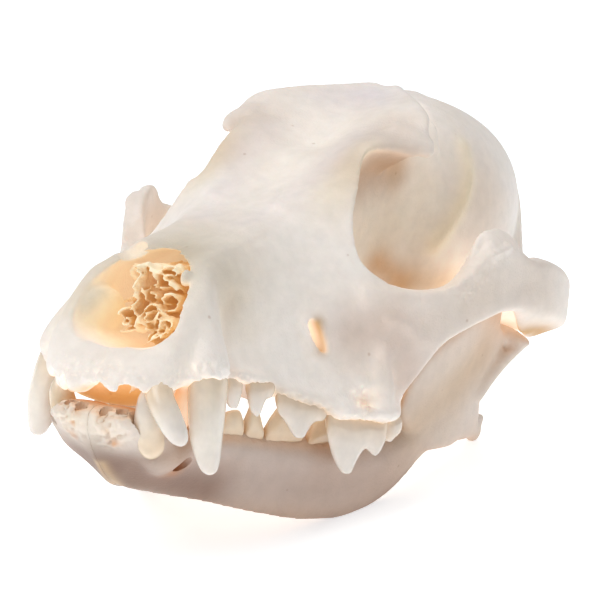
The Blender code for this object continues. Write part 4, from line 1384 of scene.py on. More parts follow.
    def strokes(self) -> list[Stroke | Grain]:
        """The tool work on the finished skin.

        Returns:
            The strokes and rough patches, in order.
        """
        return [
            # the fossa behind the canine tooth, and the hollow before the eye
            Stroke(((17, 28, 13), (18.5, 34, 15)), 7, -1.2),
            Stroke(((22, 46, 19), (25, 54, 21)), 6, -0.6),
            # the groove behind the root of the canine, with its pit
            Stroke(self.canine_groove, 2.6, -1),
            Stroke(((19.2, 25.2, 1.4),), 0.9, -0.9),
            # roots of the canine and the third incisor, then of the cheek teeth
            Stroke(((17.4, 14, 5), (16.4, 15, 13), (14.2, 19, 20)), 3.2, 1),
            Stroke(((13.4, 6, 2), (13.4, 6.6, 8)), 2.4, 0.7),
            Stroke(((27.4, 51, -1), (26.4, 52, 4)), 1.8, 0.5),
            Stroke(((34.8, 64.6, -4), (34.4, 64.8, 1), (33.2, 65.2, 8)), 2.1, 1.5),
            Stroke(((33.6, 60.6, -3), (32.6, 60.6, 4)), 1.5, -0.9),
            Stroke(((30, 53.6, -4), (28.8, 54, 2)), 2.2, 0.9),
            # tubercle of the cheekbone, where the tendons sat
            Stroke(((33, 65.7, 15.8), (35, 67.7, 15.6), (37.5, 68.8, 14.3), (39.8, 71, 11.4)), 1.5, 0.8),
            Stroke(((34, 68.5, 18), (38, 71, 17)), 2.4, -0.5),
            # rim of the cheek foramen
            Stroke(((22, 46.5, 14), (23.6, 48, 11), (24.6, 48.8, 8)), 2, -0.9),
            Stroke(((24.6, 51.8, 14), (25.4, 52.6, 11), (26.2, 52.6, 8)), 1.2, 0.5),
            # median groove of the nose and forehead
            Stroke(((0, 30, 29), (0, 60, 39), (0, 84, 50), (0, 104, 60)), 5, -0.5, False),
            # temporal lines that run together at the crest
            Stroke(((26, 92, 53.4), (19.5, 100, 58.6), (14, 108, 61.2), (8, 115, 63.4), (2, 124, 65)), 1, 0.7),
            Stroke(((25, 95, 53.4), (21.5, 101.5, 56.6), (16.4, 110, 59.6), (10, 117.6, 62.2)), 2.4, -0.9),
            # ridge on the side of the braincase
            Stroke(self.side_ridge, 2.4, 0.9),
            Stroke(((21, 116, 50), (22.6, 114, 44), (21.6, 110, 37), (18.6, 106, 30)), 3.4, -0.7),
            # folds of the tear duct in the eye socket
            Stroke(((20, 76, 30), (21.6, 77, 27), (24, 78.4, 25), (27.4, 80, 23.6)), 1.3, 1.2),
            Stroke(((18.6, 81, 29), (20.2, 82, 26), (23, 83, 24)), 1.5, -1.3),
            Stroke(((17.4, 86, 27), (19.4, 88, 24.6), (22.6, 89, 23)), 1.2, 0.9),
            # the crest along the arch and the groove inside it, with its nodules
            Stroke(
                ((41.6, 76.1, 23.1), (43.3, 78.2, 24.5), (45.2, 81, 26.8), (46.6, 84, 30.4), (48.8, 90.8, 33)),
                0.9, 0.8,
            ),
            Stroke(((40.6, 76.6, 24.2), (42.4, 79.2, 27), (43.8, 81.6, 30.4), (45.2, 85, 33.6)), 1.1, -0.8),
            Stroke(((43.4, 79, 25.8),), 1, 0.9),
            Stroke(((44.6, 81.4, 28.2),), 0.9, 0.8),
            Stroke(((46.6, 84, 33.4), (47.6, 87, 35)), 1.1, 0.8),
            Stroke(((49.2, 94, 34.2),), 1.4, 0.7),
            Stroke(((38.6, 74, 16), (45, 84, 22), (50.4, 98, 25)), 3, -0.5),
            # joints between the bones
            Stroke(((0, 24, 26.8), (0, 40, 31.4), (0, 60, 38.6)), 0.7, -0.3, False),
            Stroke(((6.6, 23, 27.4), (6.4, 40, 31.6), (6.8, 56, 36.8), (4, 66, 41)), 0.7, -0.22),
            Stroke(((10.6, 22.6, 25.8), (11, 34, 27.6), (11.6, 46, 31)), 0.7, -0.18),
            Stroke(((0, -0.6, 0.5), (0, 1.6, 4.6), (0, 3.6, 7.2)), 0.8, -0.5, False),
            Stroke(((38, 71, 21), (38.6, 70.6, 15), (37.4, 68.6, 8), (36, 66.8, 2)), 0.7, -0.22),
            # porous bone at the front, by the canines and the last root, and the rough cheekbone
            Grain(((-9, 3, -2), (-8, 3, 2), (-3, 1.2, 2), (4, 1.4, 1.6), (9, 3.2, 1.6)), 3.4, 1.4, 0.7),
            Grain(((14, 5.5, 2.6), (19.6, 12, 5), (20.6, 16.5, 4.6), (19.6, 21, 3.4)), 2.6, 1.3, 0.7),
            Grain(((32.4, 57.5, -1), (33.6, 58.8, -4.5)), 2.4, 0.9, 0.8),
            Grain(((44, 79.4, 22), (46.6, 84, 27), (48.6, 88, 33)), 2.6, 1.3, 0.35),
            Grain(((20, 26, 2), (22, 38, 0), (28.5, 49.8, -4), (33.4, 57, -5.8), (36.4, 66, -7.2)), 1.8, 1.2, 0.5),
            Grain(((0, 166, 44), (10, 163, 36), (16, 157, 26)), 6, 2.2, 0.3, True),
        ]

    def stains_and_shade(self) -> list[Stain]:
        """The tints of the bone, real stains and painted shade, from wide to narrow.

        Returns:
            The tints, in order.
        """
        return [
            # painted shade inside the nose and on the roof of the mouth, darker and warmer deeper in
            Stain(((0, 19, 17), (0, 34, 17), (0, 48, 17)), 11.4, "#B4A67A", 1),
            Stain(((4, 28, 19), (0, 36, 17), (0, 50, 18)), 8, "#9C8550", 0.85),
            Stain(((-10, 14, 12), (-9, 20, 13)), 6, "#DDCEB0", 0.9),
            Stain(((0, 17, -2), (0, 40, -2), (0, 70, -4)), 8.4, "#DDAA76", 0.85),
            Stain(((-11, 13, -4), (-4, 12.4, -5), (7, 11, -2)), 4.8, "#DDAE6C", 0.95),
            # the eye sockets and the temples: painted shade under the brow and by the postorbital process, golden
            # painted shade in the folds by the tear duct, a cream tint on the back wall and a darker tan low in the
            # temple
            Stain(((15, 84, 34), (16, 96, 34), (18, 106, 36)), 14, "#FBF0DE", 0.9, True),
            Stain(((18, 76, 44), (17, 84, 46), (18, 92, 48)), 8, "#A97F58", 0.85, True),
            Stain(((16.4, 97, 46),), 5, "#C39E76", 0.7, True),
            Stain(((17, 110, 19.5), (20, 120, 19.4)), 6, "#DDBF9C", 0.85, True),
            Stain(((14.6, 96, 24.5), (15, 101, 22.5), (15.6, 107, 19.5)), 3.6, "#D9A86E", 0.75, True),
            Stain(((21, 75, 28), (25, 78, 25), (29, 80, 23), (22, 86, 24)), 4.6, "#E2A763", 0.9, True),
            # painted shade: the cheekbone and the sides of the braincase a little greyer than the face where they
            # turn from the light, a cream tint along the side ridge, and golden-brown painted shade under the arch
            Stain(((40, 76, 16), (46, 88, 24), (52, 104, 24)), 9, "#E0D2C6", 0.85, True),
            Stain(((30, 124, 44), (34, 136, 30)), 14, "#E8D7C8", 0.8, True),
            Stain(((29, 58, 12), (34, 66, 14), (37, 70, 4)), 7, "#D9C5B8", 0.85, True),
            Stain(self.side_ridge, 2.8, "#F8E7C4", 0.7, True),
            Stain(((44, 102, 15), (47, 108, 13.4), (48.6, 114, 12.4), (47, 121, 11.6)), 3.8, "#C6985F", 1, True),
            # faint tints on the roof: a cream cloud by the brow, lilac-grey painted shade on the flanks of the nose
            # and at the top of the forehead, and painted shade in the groove behind the canine
            Stain(((16, 66, 40), (19, 76, 50)), 5, "#F4E6CC", 0.5, True),
            Stain(((5, 46, 34), (9, 66, 43), (10, 84, 56)), 4, "#ECE2E2", 0.4, True),
            Stain(((6, 104, 62), (0, 110, 63)), 6, "#E6DEE2", 0.5, True),
            Stain(self.canine_groove[1:], 2.6, "#DCC8BA", 0.6, True),
            # openings and pores: painted shade in the cheek foramen, in the gap between the incisor and the canine
            # and along the gum line of the cheek teeth; a pink tint on the porous patch by the last root and a golden
            # one along the empty incisor sockets
            Stain(((24.4, 51.9, 8), (23.4, 51.2, 13.8)), 1.5, "#B58F5E", 0.9, True),
            Stain(((33.2, 58.4, -2.6),), 2, "#F0C4A0", 0.5),
            Stain(((13.6, 12.8, -0.5), (13.4, 12.8, -6)), 3, "#D9A066", 0.9),
            Stain(((-4, 1.4, -1.4), (0, 0.6, -1.6), (10, 3.6, -1.4)), 1.4, "#E4C294", 0.7),
            Stain(((20, 25, 1.2), (22, 38, -0.6), (28, 50, -4.4), (35, 64, -6.8)), 1.6, "#CFB69A", 0.75, True),
        ]

    def build(self, shop: Workshop) -> Piece:
        """Shape, tint and set the cranium.

        Args:
            shop: The finishes.

        Returns:
            The piece.
        """
        piece = gather("cranium", self.solids())
        fuse(piece, self.voxel, self.first_smoothing)
        merge(piece, self.hollows(), Merge.CUT)
        merge(piece, cast(self.late_swells), Merge.ADD)
        fuse(piece, self.voxel, self.last_smoothing)
        keep_largest(piece)
        strokes = self.strokes()
        carve(piece, strokes)
        thin(piece, self.triangles)
        colour(piece, self.ground, self.stains_and_shade(), strokes)
        shop.dress(piece, shop.bone, ("muzzle", "braincase", "zygomatic_left", "zygomatic_right"))
        return piece


@dataclass(frozen=True)
class Blade:
    """A cheek tooth, a blade along the row with its cusps and heels.

    Args:
        name: The tooth's name.
        front: Where its neck begins, at the middle of its width.
        back: Where its neck ends.
        half_width: Half its width across the row.
        reach: How far the crown stands from the neck, from front (0) to back (1).
        grows: 1 if the crown points up, -1 if it points down.
        lean: How far the cusps lean outwards.
        root: How far its root goes into the bone.
        voxel: The fineness of its skin.
        rings: How many sections it gets.
        smoothing: How often its skin is smoothed.
        power: How square its ends are.
    """

    name: str
    front: Place
    back: Place
    half_width: float
    reach: Line
    grows: int = 1
    lean: float = 0.0
    root: float = 2.6
    voxel: float = 0.27
    rings: int = 34
    smoothing: int = 6
    power: int = 3

    def ring(self, t: float, side: Side) -> list[np.ndarray]:
        """The tooth's section at a share of its length.

        Args:
            t: The share, from 0 at the front to 1.
            side: The side.

        Returns:
            The section's points.
        """
        start, end = (np.array(place, float) for place in (self.front, self.back))
        along = end - start
        across = np.array([along[1], -along[0], 0]) / math.hypot(along[0], along[1])
        wide = self.half_width * max(0.12, (1 - abs(2 * t - 1) ** self.power) ** 0.5)
        height = self.reach(t)
        outline = (
            (0.3, -self.root),
            (0.82, -0.4),
            (1.0, 0.2 * height),
            (1.0, 0.42 * height),
            (0.9, 0.72 * height),
            (0.66, height),
            (0.18, height),
            (-0.2, 0.72 * height),
            (-0.66, 0.42 * height),
            (-0.9, 0.2 * height),
            (-0.8, -0.4),
            (-0.7, -self.root),
        )
        outside = self.half_width - wide
        ring = []
        for x, z in outline:
            lean = self.lean * max(0.0, z) / max(self.reach.value)
            place = start + along * t + across * (x * wide + outside * 0.6 + lean) + np.array([0, 0, z * self.grows])
            ring.append(place * [side.value, 1, 1])
        return ring

    def build(self, jaw: str, side: Side) -> Piece:
        """Shape and tint the tooth on one side, still in the skull's frame.

        Args:
            jaw: The jaw's word in the piece's name.
            side: The side.

        Returns:
            The tooth.
        """
        piece = loft(f"{jaw}_{self.name}_{side.word}", [self.ring(t, side) for t in np.linspace(0, 1, self.rings)])
        fuse(piece, self.voxel, self.smoothing)
        keep_largest(piece)
        neck = tuple((place[0] * side.value, *place[1:]) for place in (self.front, self.back))
        # the upper cheek teeth are a greyer ivory than the canines, partly painted shade under the cheek; the lower
        # ones are golden with a darker neck, partly painted shade inside the mouth
        tone, reach = ("#DDBE98", 0.9) if self.grows < 0 else ("#D8A672", -0.4)
        ground = "#E6DCD2" if self.grows < 0 else "#E6D3B8"
        colour(piece, ground, [Stain(neck, self.half_width + reach, tone, 0.85)])
        return piece


@dataclass(frozen=True)
class Fang:
    """A canine or incisor: one thick, blunt, curved cone with its root.

    Args:
        name: The tooth's name.
        rows: x, y, z and half the width each way, from the root's end to the tip.
        neck: The place where the bone ends.
        ground: The sRGB hex colour of its crown.
        voxel: The fineness of its skin.
        rings_per_row: How many rings it gets for each row.
        sides: How many points each ring gets.
        smoothing: How often its skin is smoothed.
        fade: How far the tints of its neck and tip reach.
    """

    name: str
    rows: Rows
    neck: Place
    ground: str = "#EFE6DA"
    voxel: float = 0.3
    rings_per_row: int = 6
    sides: int = 22
    smoothing: int = 5
    fade: float = 5.6

    def build(self, jaw: str, side: Side) -> Piece:
        """Shape and tint the tooth on one side, still in the skull's frame.

        Args:
            jaw: The jaw's word in the piece's name.
            side: The side.

        Returns:
            The tooth.
        """
        rings = self.rings_per_row * len(self.rows)
        piece = sweep(f"{jaw}_{self.name}_{side.word}", mirrored(self.rows, side), rings, self.sides)
        fuse(piece, self.voxel, self.smoothing)
        keep_largest(piece)
        neck = (self.neck[0] * side.value, *self.neck[1:])
        tip = (self.rows[-1][0] * side.value, *self.rows[-1][1:3])
        stains_and_shade = [Stain((neck,), self.fade, "#DDBD90", 0.8), Stain((tip,), self.fade, "#DACFC6", 0.7)]
        colour(piece, self.ground, stains_and_shade)
        return piece


@dataclass
class UpperTeeth:
    """The teeth of the upper jaw: both canines and cheek rows, and one incisor."""

    # where the right canine begins to lean, and how far out and up it goes for each millimetre below
    lean_below_z: float = 2.2
    lean_out: float = 0.09
    lean_up: float = 0.07
    canine: Fang = Fang(
        "canine",
        (
            (12, 22, 11, 1.6, 2), (14.6, 18.6, 7.4, 2.4, 3), (16.8, 16.4, 4.4, 3.3, 4), (17.9, 15.4, 2.2, 4, 4.9),
            (18.7, 14.6, -2.6, 3.8, 4.6), (19.3, 14.4, -7.6, 3.4, 4.1), (19.7, 15, -11.4, 2.8, 3.5),
            (20.1, 15.6, -14.2, 2.2, 2.7), (20.3, 16, -16, 1.4, 1.8), (20.3, 16.1, -16.7, 0.6, 0.8),
        ),
        (17.9, 15.4, 2.2),
    )
    incisor: Fang = Fang(
        "incisor",
        (
            (10, 9.4, 6, 1.6, 2), (11.6, 6.8, 2.2, 2.4, 2.7), (12.6, 5.4, -0.6, 2.9, 3.1), (14.6, 4.6, -3.2, 2.8, 3),
            (16.4, 4.6, -5.6, 2.6, 2.8), (17.8, 5.2, -7.8, 2.2, 2.4), (18.6, 5.8, -9.4, 1.5, 1.6),
            (18.9, 6, -10.2, 0.6, 0.6),
        ),
        (12.4, 5.4, -0.4),
        "#F0EAE2",
    )
    row: tuple[Blade, ...] = (
        Blade(
            "premolar_1", (17, 23.6, 1.8), (17.6, 29, 1.5), 1.8,
            Line((0, 2.2), (0.2, 4.6), (0.45, 5.5), (0.7, 5.5), (0.87, 3.9), (1, 1.5)), grows=-1, lean=0.4,
        ),
        Blade(
            "premolar_2", (18.8, 30.2, 1.2), (20.8, 38, 0.8), 1.9,
            Line((0, 1.8), (0.07, 4), (0.14, 5.2), (0.26, 6.2), (0.4, 6.8), (0.5, 6), (0.58, 4.2), (0.7, 3),
                 (0.88, 2.6), (1, 1)), grows=-1, lean=0.4, root=1.2,
        ),
        Blade(
            "premolar_3", (21.2, 38.8, -1.6), (26.9, 52.1, -4), 2.2,
            Line((0, 1.8), (0.05, 3.2), (0.15, 4.2), (0.27, 5.6), (0.36, 7), (0.45, 7.7), (0.55, 7.5), (0.63, 5.6),
                 (0.71, 4), (0.79, 3.3), (0.9, 3), (0.96, 2.2), (1, 0.8)), grows=-1, lean=0.5,
        ),
        Blade(
            "carnassial", (27.1, 51.8, -6), (33.7, 67.4, -7.6), 2.9,
            Line((0, 3.4), (0.08, 5.8), (0.17, 8.4), (0.28, 10.6), (0.36, 11.6), (0.44, 11.5), (0.52, 8.8),
                 (0.62, 6.2), (0.68, 5.6), (0.76, 6.2), (0.84, 7), (0.92, 6), (1, 3.2)), grows=-1, lean=0.3,
        ),
        Blade(
            "molar_1", (31.2, 67.8, -7), (31, 75.2, -6.6), 4.6,
            Line((0, 2.4), (0.2, 4.4), (0.4, 4.9), (0.55, 4), (0.75, 4.2), (1, 2)), grows=-1, lean=0.6,
        ),
        Blade(
            "molar_2", (28.6, 75.6, -5.2), (27.8, 80.2, -4.2), 3.4,
            Line((0, 1.4), (0.3, 2.6), (0.6, 2.4), (1, 1)), grows=-1, lean=0.2,
        ),
    )

    def build(self, shop: Workshop) -> list[Piece]:
        """Shape and set the upper teeth.

        Args:
            shop: The finishes.

        Returns:
            The pieces.
        """
        leaning = []
        for x, y, z, *rest in self.canine.rows:
            drop = max(0.0, self.lean_below_z - z)
            leaning.append((x + self.lean_out * drop, y, z + self.lean_up * drop, *rest))
        pieces = [self.canine.build("upper", Side.LEFT)]
        pieces.append(replace(self.canine, rows=leaning).build("upper", Side.RIGHT))
        pieces += [tooth.build("upper", side) for tooth in self.row for side in Side]
        pieces.append(self.incisor.build("upper", Side.LEFT))
        for piece in pieces:
            shop.dress(piece, shop.enamel, ())
        return pieces


# the lower canines: the right one stands steeper, and its darker crown is painted shade
LOWER_CANINES: dict[Side, Fang] = {
    Side.LEFT: Fang(
        "canine",
        (
            (8.2, 17, -16, 1, 1.4), (9.8, 12.5, -13.4, 2, 2.4), (11.2, 8.6, -10.8, 3, 3.3), (11, 7.4, -7.6, 3, 3.4),
            (10.9, 6.4, -4.2, 2.4, 2.9), (10.6, 5.9, -1.6, 1.6, 1.9), (10.5, 5.8, 0, 0.7, 0.8),
        ),
        (11.2, 8.6, -11.4),
    ),
    Side.RIGHT: Fang(
        "canine",
        (
            (7.6, 17, -14.6, 0.9, 1.2), (8.6, 13.4, -12.4, 1.4, 1.8), (9.6, 10.8, -9.4, 1.8, 2.4),
            (10.6, 9, -7, 2.6, 3.2), (11.2, 8.2, -3.6, 2.3, 2.8), (11.3, 8.2, -1, 1.5, 1.8),
            (11.3, 8.3, 0.2, 0.6, 0.7),
        ),
        (10.4, 9.6, -8.6),
        "#E9D6B8",
    ),
}


@dataclass
class LowerJaw:
    """One half of the lower jaw with its teeth."""

    side: Side
    canine: Fang
    voxel: float = 0.55
    triangles: int = 90000
    smoothing: int = 14
    first_y: float = 1.6
    last_y: float = 103.1
    spacing: float = 1.5
    branch_rings: int = 44
    # a little darker than the cranium's bone: painted shade on the jaw, which faces down, away from the light
    ground: str = "#E4D8CF"
    joint_gap: float = 0.04
    # the box that holds the half: its far x, its y and its z
    half_x: float = 60.0
    half_y: tuple[float, float] = (0, 140)
    half_z: tuple[float, float] = (-40, 40)
    shift_x: float = -1.4
    shift_end_y: float = 70.0
    low: Line = Line(
        (1.6, -9.4), (4, -13.6), (6, -15.8), (8, -17.8), (11, -20.4), (16, -22.8), (24, -24.4), (33, -25.9),
        (47, -28.7), (60, -30.5), (68, -30.6), (76, -29), (84, -25.8), (90, -22), (96, -16.8), (103, -14.2),
    )
    top: Line = Line(
        (1.6, -6.4), (4, -4.8), (7, -4.7), (10.5, -5), (13, -7.4), (16, -9.2), (31, -8.4), (43, -10), (56, -11.2),
        (66, -11.4), (74, -11.4), (82, -8.8), (90, -5), (103, -1),
    )
    outer_top: Line = Line(
        (1.6, 8), (4, 11.6), (7, 13.4), (12, 14.8), (18, 14.6), (24, 14.8), (32, 16.8), (40, 19.2), (48, 22),
        (56, 25), (64, 28.2), (72, 31), (80, 33.4), (88, 34.8), (96, 35.8), (103, 36.4),
    )
    outer_low: Line = Line(
        (1.6, 2), (5, 2.8), (9, 3.2), (14, 4.6), (20, 7.2), (26, 9.9), (32, 12.6), (48, 19.8), (64, 25.8), (80, 29.6),
        (90, 31.2), (96, 32.8), (103, 34.6),
    )
    inner: Line = Line(
        (1.6, -3), (20, -2), (23, 0.6), (26, 3.6), (32, 7.4), (40, 10.8), (48, 13.8), (56, 16.6), (64, 19.4),
        (72, 22.6), (80, 25.8), (88, 28.6), (96, 30.6), (103, 32),
    )
    # height, front y, back y, middle x, thickness of the branch
    branch: Rows = (
        (-15.6, 88, 107, 32, 4.6), (-11, 82, 120.6, 32.6, 5.4), (-5, 75, 117.4, 34, 5.2), (1, 75.4, 116.6, 35.4, 5),
        (6, 78.6, 119.4, 36.6, 4.8), (10, 84.6, 121.4, 37.6, 4.4), (13, 91.6, 114.6, 38.4, 4),
        (18, 97, 112.4, 39.2, 3.6), (23, 101.4, 111.6, 39.8, 3), (27, 104.8, 110.2, 40.2, 2.4),
    )
    parts: tuple[Rod, ...] = (
        Rod("condyle", (
            (27.6, 122.2, 9.6, 1.5, 1.5), (30, 121.8, 9.8, 2.8, 2.9), (36, 121, 9.8, 3, 3.2),
            (41, 120.6, 9.4, 2, 2.2), (44, 120.8, 9.2, 0.7, 0.8),
        ), count=20, sides=16, across=(0, 0, 1)),
        Rod("neck", (
            (42.2, 120.6, 8.4, 1, 0.9), (39.4, 118.4, 5.4, 1.5, 1.9), (37, 115.6, 1.4, 1.9, 2.4),
            (35, 112, -4, 2, 2.8),
        ), count=14),
        Rod("angle", (
            (32.5, 104, -9.6, 3, 5), (32, 113, -11.6, 2.7, 3.4), (31, 120.6, -12.6, 2.4, 2.6),
            (30.2, 124.8, -13.8, 2.2, 2.4), (29.4, 126.8, -15.6, 1.5, 1.6), (29, 127.6, -16.8, 0.8, 0.8),
        ), count=18),
        Rod("spur", (
            (31, 121.6, -11.8, 1.8, 2.4), (31, 125.4, -11, 1.5, 1.6), (31.2, 127.4, -10.4, 0.7, 0.8),
        ), count=8),
    )
    # bone over the root of the canine and under the joint of the halves, both on the left half only
    canine_root: Rod = Rod("canine root", (
        (8.6, 19, -17, 2.4, 3), (9.4, 14.4, -14.8, 2.8, 3.4), (10.2, 11, -12.6, 3.2, 3.2),
    ), count=10)
    chin_joint: Rod = Rod("chin joint", (
        (-0.2, 5, -6.6, 1, 1.4), (-0.2, 4, -9, 1, 1.4), (-0.2, 5.6, -12.4, 1, 1.4), (-0.2, 8.2, -15.6, 1, 1.4),
        (-0.2, 11.4, -18.6, 1, 1.4), (-0.2, 16.4, -21, 1, 1.4), (-0.2, 22, -22.2, 1, 1.4),
    ), count=24, sides=16)
    pits: tuple[Rod | Oval, ...] = (
        Rod("crown room", (
            (11.3, 8.2, -10.2, 2.5, 2.4), (11.5, 7, -7.4, 3.2, 3.4), (11.7, 5.6, -3.4, 4.2, 5.2),
            (11.4, 4.4, 2, 4.4, 5.6),
        ), count=12, sides=20),
        Oval("chin hole", (13, 19.4, -16.3), (3.6, 2.3, 1.9), (0, 0, 20)),
        Oval("small chin hole", (19, 31, -17.3), (2.2, 0.7, 0.6)),
        Oval("socket", (3, 3.6, -5.6), (1.2, 1.3, 3.2), (-30, 0, 0), fineness=3),
        Oval("socket", (6.2, 4.4, -5.4), (1.2, 1.3, 3), (-30, 0, 0), fineness=3),
    )
    row: tuple[Blade, ...] = (
        Blade("premolar_1", (10.8, 23, -9.2), (12.2, 28.6, -9.4), 1.9,
              Line((0, 1.2), (0.3, 3.4), (0.6, 3.2), (1, 1))),
        Blade("premolar_2", (13.6, 30.4, -9.8), (15.6, 37.2, -10.2), 2,
              Line((0, 0.6), (0.08, 2.6), (0.25, 4.2), (0.7, 4.8), (0.9, 3), (1, 0.6))),
        Blade("premolar_3", (15.8, 37.6, -10.4), (17.4, 42.8, -11), 2,
              Line((0, 1), (0.12, 4.4), (0.3, 7.4), (0.48, 7.6), (0.6, 5.4), (0.75, 3.6), (1, 0.6))),
        Blade("premolar_4", (17.6, 43, -11.2), (20.8, 54, -11.8), 2.3,
              Line((0, 0.8), (0.06, 3.2), (0.18, 5), (0.38, 7), (0.5, 6.8), (0.64, 4.4), (0.85, 3.2), (1, 0.6))),
        Blade("carnassial", (21.4, 54.8, -12.2), (26, 75, -11.6), 2.9,
              Line((0, 0.8), (0.08, 3.8), (0.22, 5.6), (0.32, 4.6), (0.44, 6.8), (0.54, 5.6), (0.62, 3), (1, 0.8))),
        Blade("molar_2", (26.6, 76, -11), (28.6, 83.6, -8.8), 2.4,
              Line((0, 1.2), (0.3, 2.4), (0.7, 2), (1, 0.8))),
        Blade("molar_3", (29, 84.6, -8.2), (30, 88.6, -6.8), 1.7, Line((0, 0.8), (0.5, 1.4), (1, 0.6))),
    )

    def body_ring(self, y: float) -> list[tuple[float, float, float]]:
        """Section of the jaw's body at y.

        Args:
            y: Where the section lies.

        Returns:
            The section's points.
        """
        top, low, inner = self.top(y), self.low(y), self.inner(y)
        outer, outer_low = self.outer_top(y), self.outer_low(y)
        tall = top - low
        full = 0.6 + 0.2 * min(1.0, max(0.0, (24 - y) / 10)) if self.side is Side.LEFT else 0.6
        corners = [
            (inner + (outer - inner) * 0.3, top),
            (inner + (outer - inner) * 0.8, top - 0.06 * tall),
            (outer, top - 0.28 * tall),
            (outer * full + outer_low * (1 - full), top - 0.56 * tall),
            (outer_low, low + 0.16 * tall),
            (inner * 0.55 + outer_low * 0.45, low),
            (inner + 0.4, low + 0.2 * tall),
            (inner, low + 0.6 * tall),
            (inner + 0.2, top - 0.1 * tall),
        ]
        return [(x * self.side.value, y, z) for x, z in rounded(corners)]

    def branch_ring(self, z: float, front: float, back: float, middle: float, thick: float) -> list[Place]:
        """Section of the jaw's branch at height z.

        Args:
            z: Where the section lies.
            front: Its front y.
            back: Its back y.
            middle: Its middle x.
            thick: Its thickness.

        Returns:
            The section's points.
        """
        ring = []
        for a in np.arange(24) * math.pi / 12:
            across = math.copysign(abs(math.sin(a)) ** 0.8, math.sin(a)) * thick / 2
            along = math.copysign(abs(math.cos(a)) ** 0.85, math.cos(a)) * (back - front) / 2
            ring.append(((middle + across) * self.side.value, (front + back) / 2 + along, z))
        return ring

    def strokes(self) -> list[Stroke | Grain]:
        """The tool work on the finished skin, given for the left half.

        Returns:
            The strokes and rough patches, in order.
        """
        return [
            Stroke(((10.6, 9.4, -12.4), (12.2, 12.6, -15.6)), 4, 0.9),
            Stroke(((36, 96, -3), (37, 104, 2), (37.4, 108, 8)), 7, -0.9),
            Stroke(((15.6, 24, -12), (20, 42, -14), (26, 60, -16)), 2.4, 0.25),
            Grain(((4.4, 2.6, -6.8), (4.4, 3.2, -10.8), (7, 4.6, -8)), 3.6, 1.3, 0.9),
            Grain(((13.6, 22, -9.8), (20, 44, -11.6), (27, 62, -12.6)), 1.3, 1, 0.28),
        ]

    def stains_and_shade(self) -> list[Stain]:
        """The tints of the bone, mostly painted shade, given for the left half.

        Returns:
            The tints, in order.
        """
        return [
            # painted shade: the side of the body darker towards the bottom, darkest along the lower edge and under
            # the chin
            Stain(((14, 26, -19), (24, 52, -22), (32, 80, -18)), 13, "#B9A397", 0.85),
            Stain(
                ((4, 10, -21), (8, 20, -25), (12, 36, -28), (18, 56, -31), (26, 76, -30), (31, 90, -23)),
                5, "#9C8474", 0.6,
            ),
            Stain(((-1, 4, -14), (1, 8, -18.4), (4, 14, -22.4), (9, 21, -24.6)), 4.4, "#8E7664", 0.75),
            Stain(
                ((2, 9, -17.4), (6.8, 10.6, -16.3), (6, 16, -20), (10, 25, -21), (12, 31, -22.5)),
                6.4, "#84685A", 0.85,
            ),
            # painted shade between the lower canine and the upper incisor, and in the hollow of the branch
            Stain(((13.4, 11, -13), (14.6, 16, -15)), 4, "#AD907A", 0.7),
            Stain(((32, 84, -6), (36, 96, 0), (37, 106, 6)), 10, "#C8AD90", 0.85),
            # cream on the porous front, and warm painted shade inside the mouth behind it
            Stain(((1, 2.2, -8), (5, 2.8, -8)), 5, "#F6E9D8", 0.8),
            Stain(((0, 10, -5), (5.4, 10.4, -5.4)), 3.6, "#D99B50", 0.9),
            # a golden tint along the gum line of the cheek teeth
            Stain(((14, 22, -9.6), (22, 46, -11.6), (28, 64, -12.4)), 1.6, "#EFC59A", 0.8),
            # painted shade inside the chin hole, golden tints in the sockets and pits of the front, and painted shade
            # in the small chin hole
            Stain(((10.2, 19.3, -16.3),), 2.6, "#B8722E", 1),
            Stain(((2.8, 2.4, -6.6),), 1, "#DB9A50", 0.8),
            Stain(((3.8, 2.8, -8.8),), 0.9, "#DB9A50", 0.8),
            Stain(((5.2, 3.8, -12.4),), 1.2, "#D58F45", 0.8),
            Stain(((17.9, 31, -17.3),), 1, "#C98D4E", 0.6),
            # a lighter line along the joint of the halves: painted light that hides the shade of its groove
            Stain(((0.6, 8, -17.4), (0.6, 15, -22)), 1.2, "#D8B993", 0.6),
        ]

    def slide(self, piece: Piece) -> None:
        """Move a piece with the front of the jaw, which lies a little to the skull's right.

        Args:
            piece: The piece.
        """
        points, _ = read_points(piece)
        points[:, 0] += self.shift_x * np.clip(1 - points[:, 1] / self.shift_end_y, 0, 1)
        write_points(piece, points)

    def rest(self, piece: Piece) -> None:
        """Give the jaw small flats where it touches the table.

        Args:
            piece: The piece.
        """
        points, _ = read_points(piece)
        up = np.array([0, -math.sin(NOSE_UP), math.cos(NOSE_UP)])
        points += np.maximum(0, FLOOR_Z - points @ up)[:, None] * up
        write_points(piece, points)

    def sided(self, work: Sequence[Stroke | Grain | Stain]) -> list:
        """The same work on this half's own side."""
        sign = self.side.value
        return [replace(item, path=[(x * sign, y, z) for x, y, z in item.path], paired=False) for item in work]

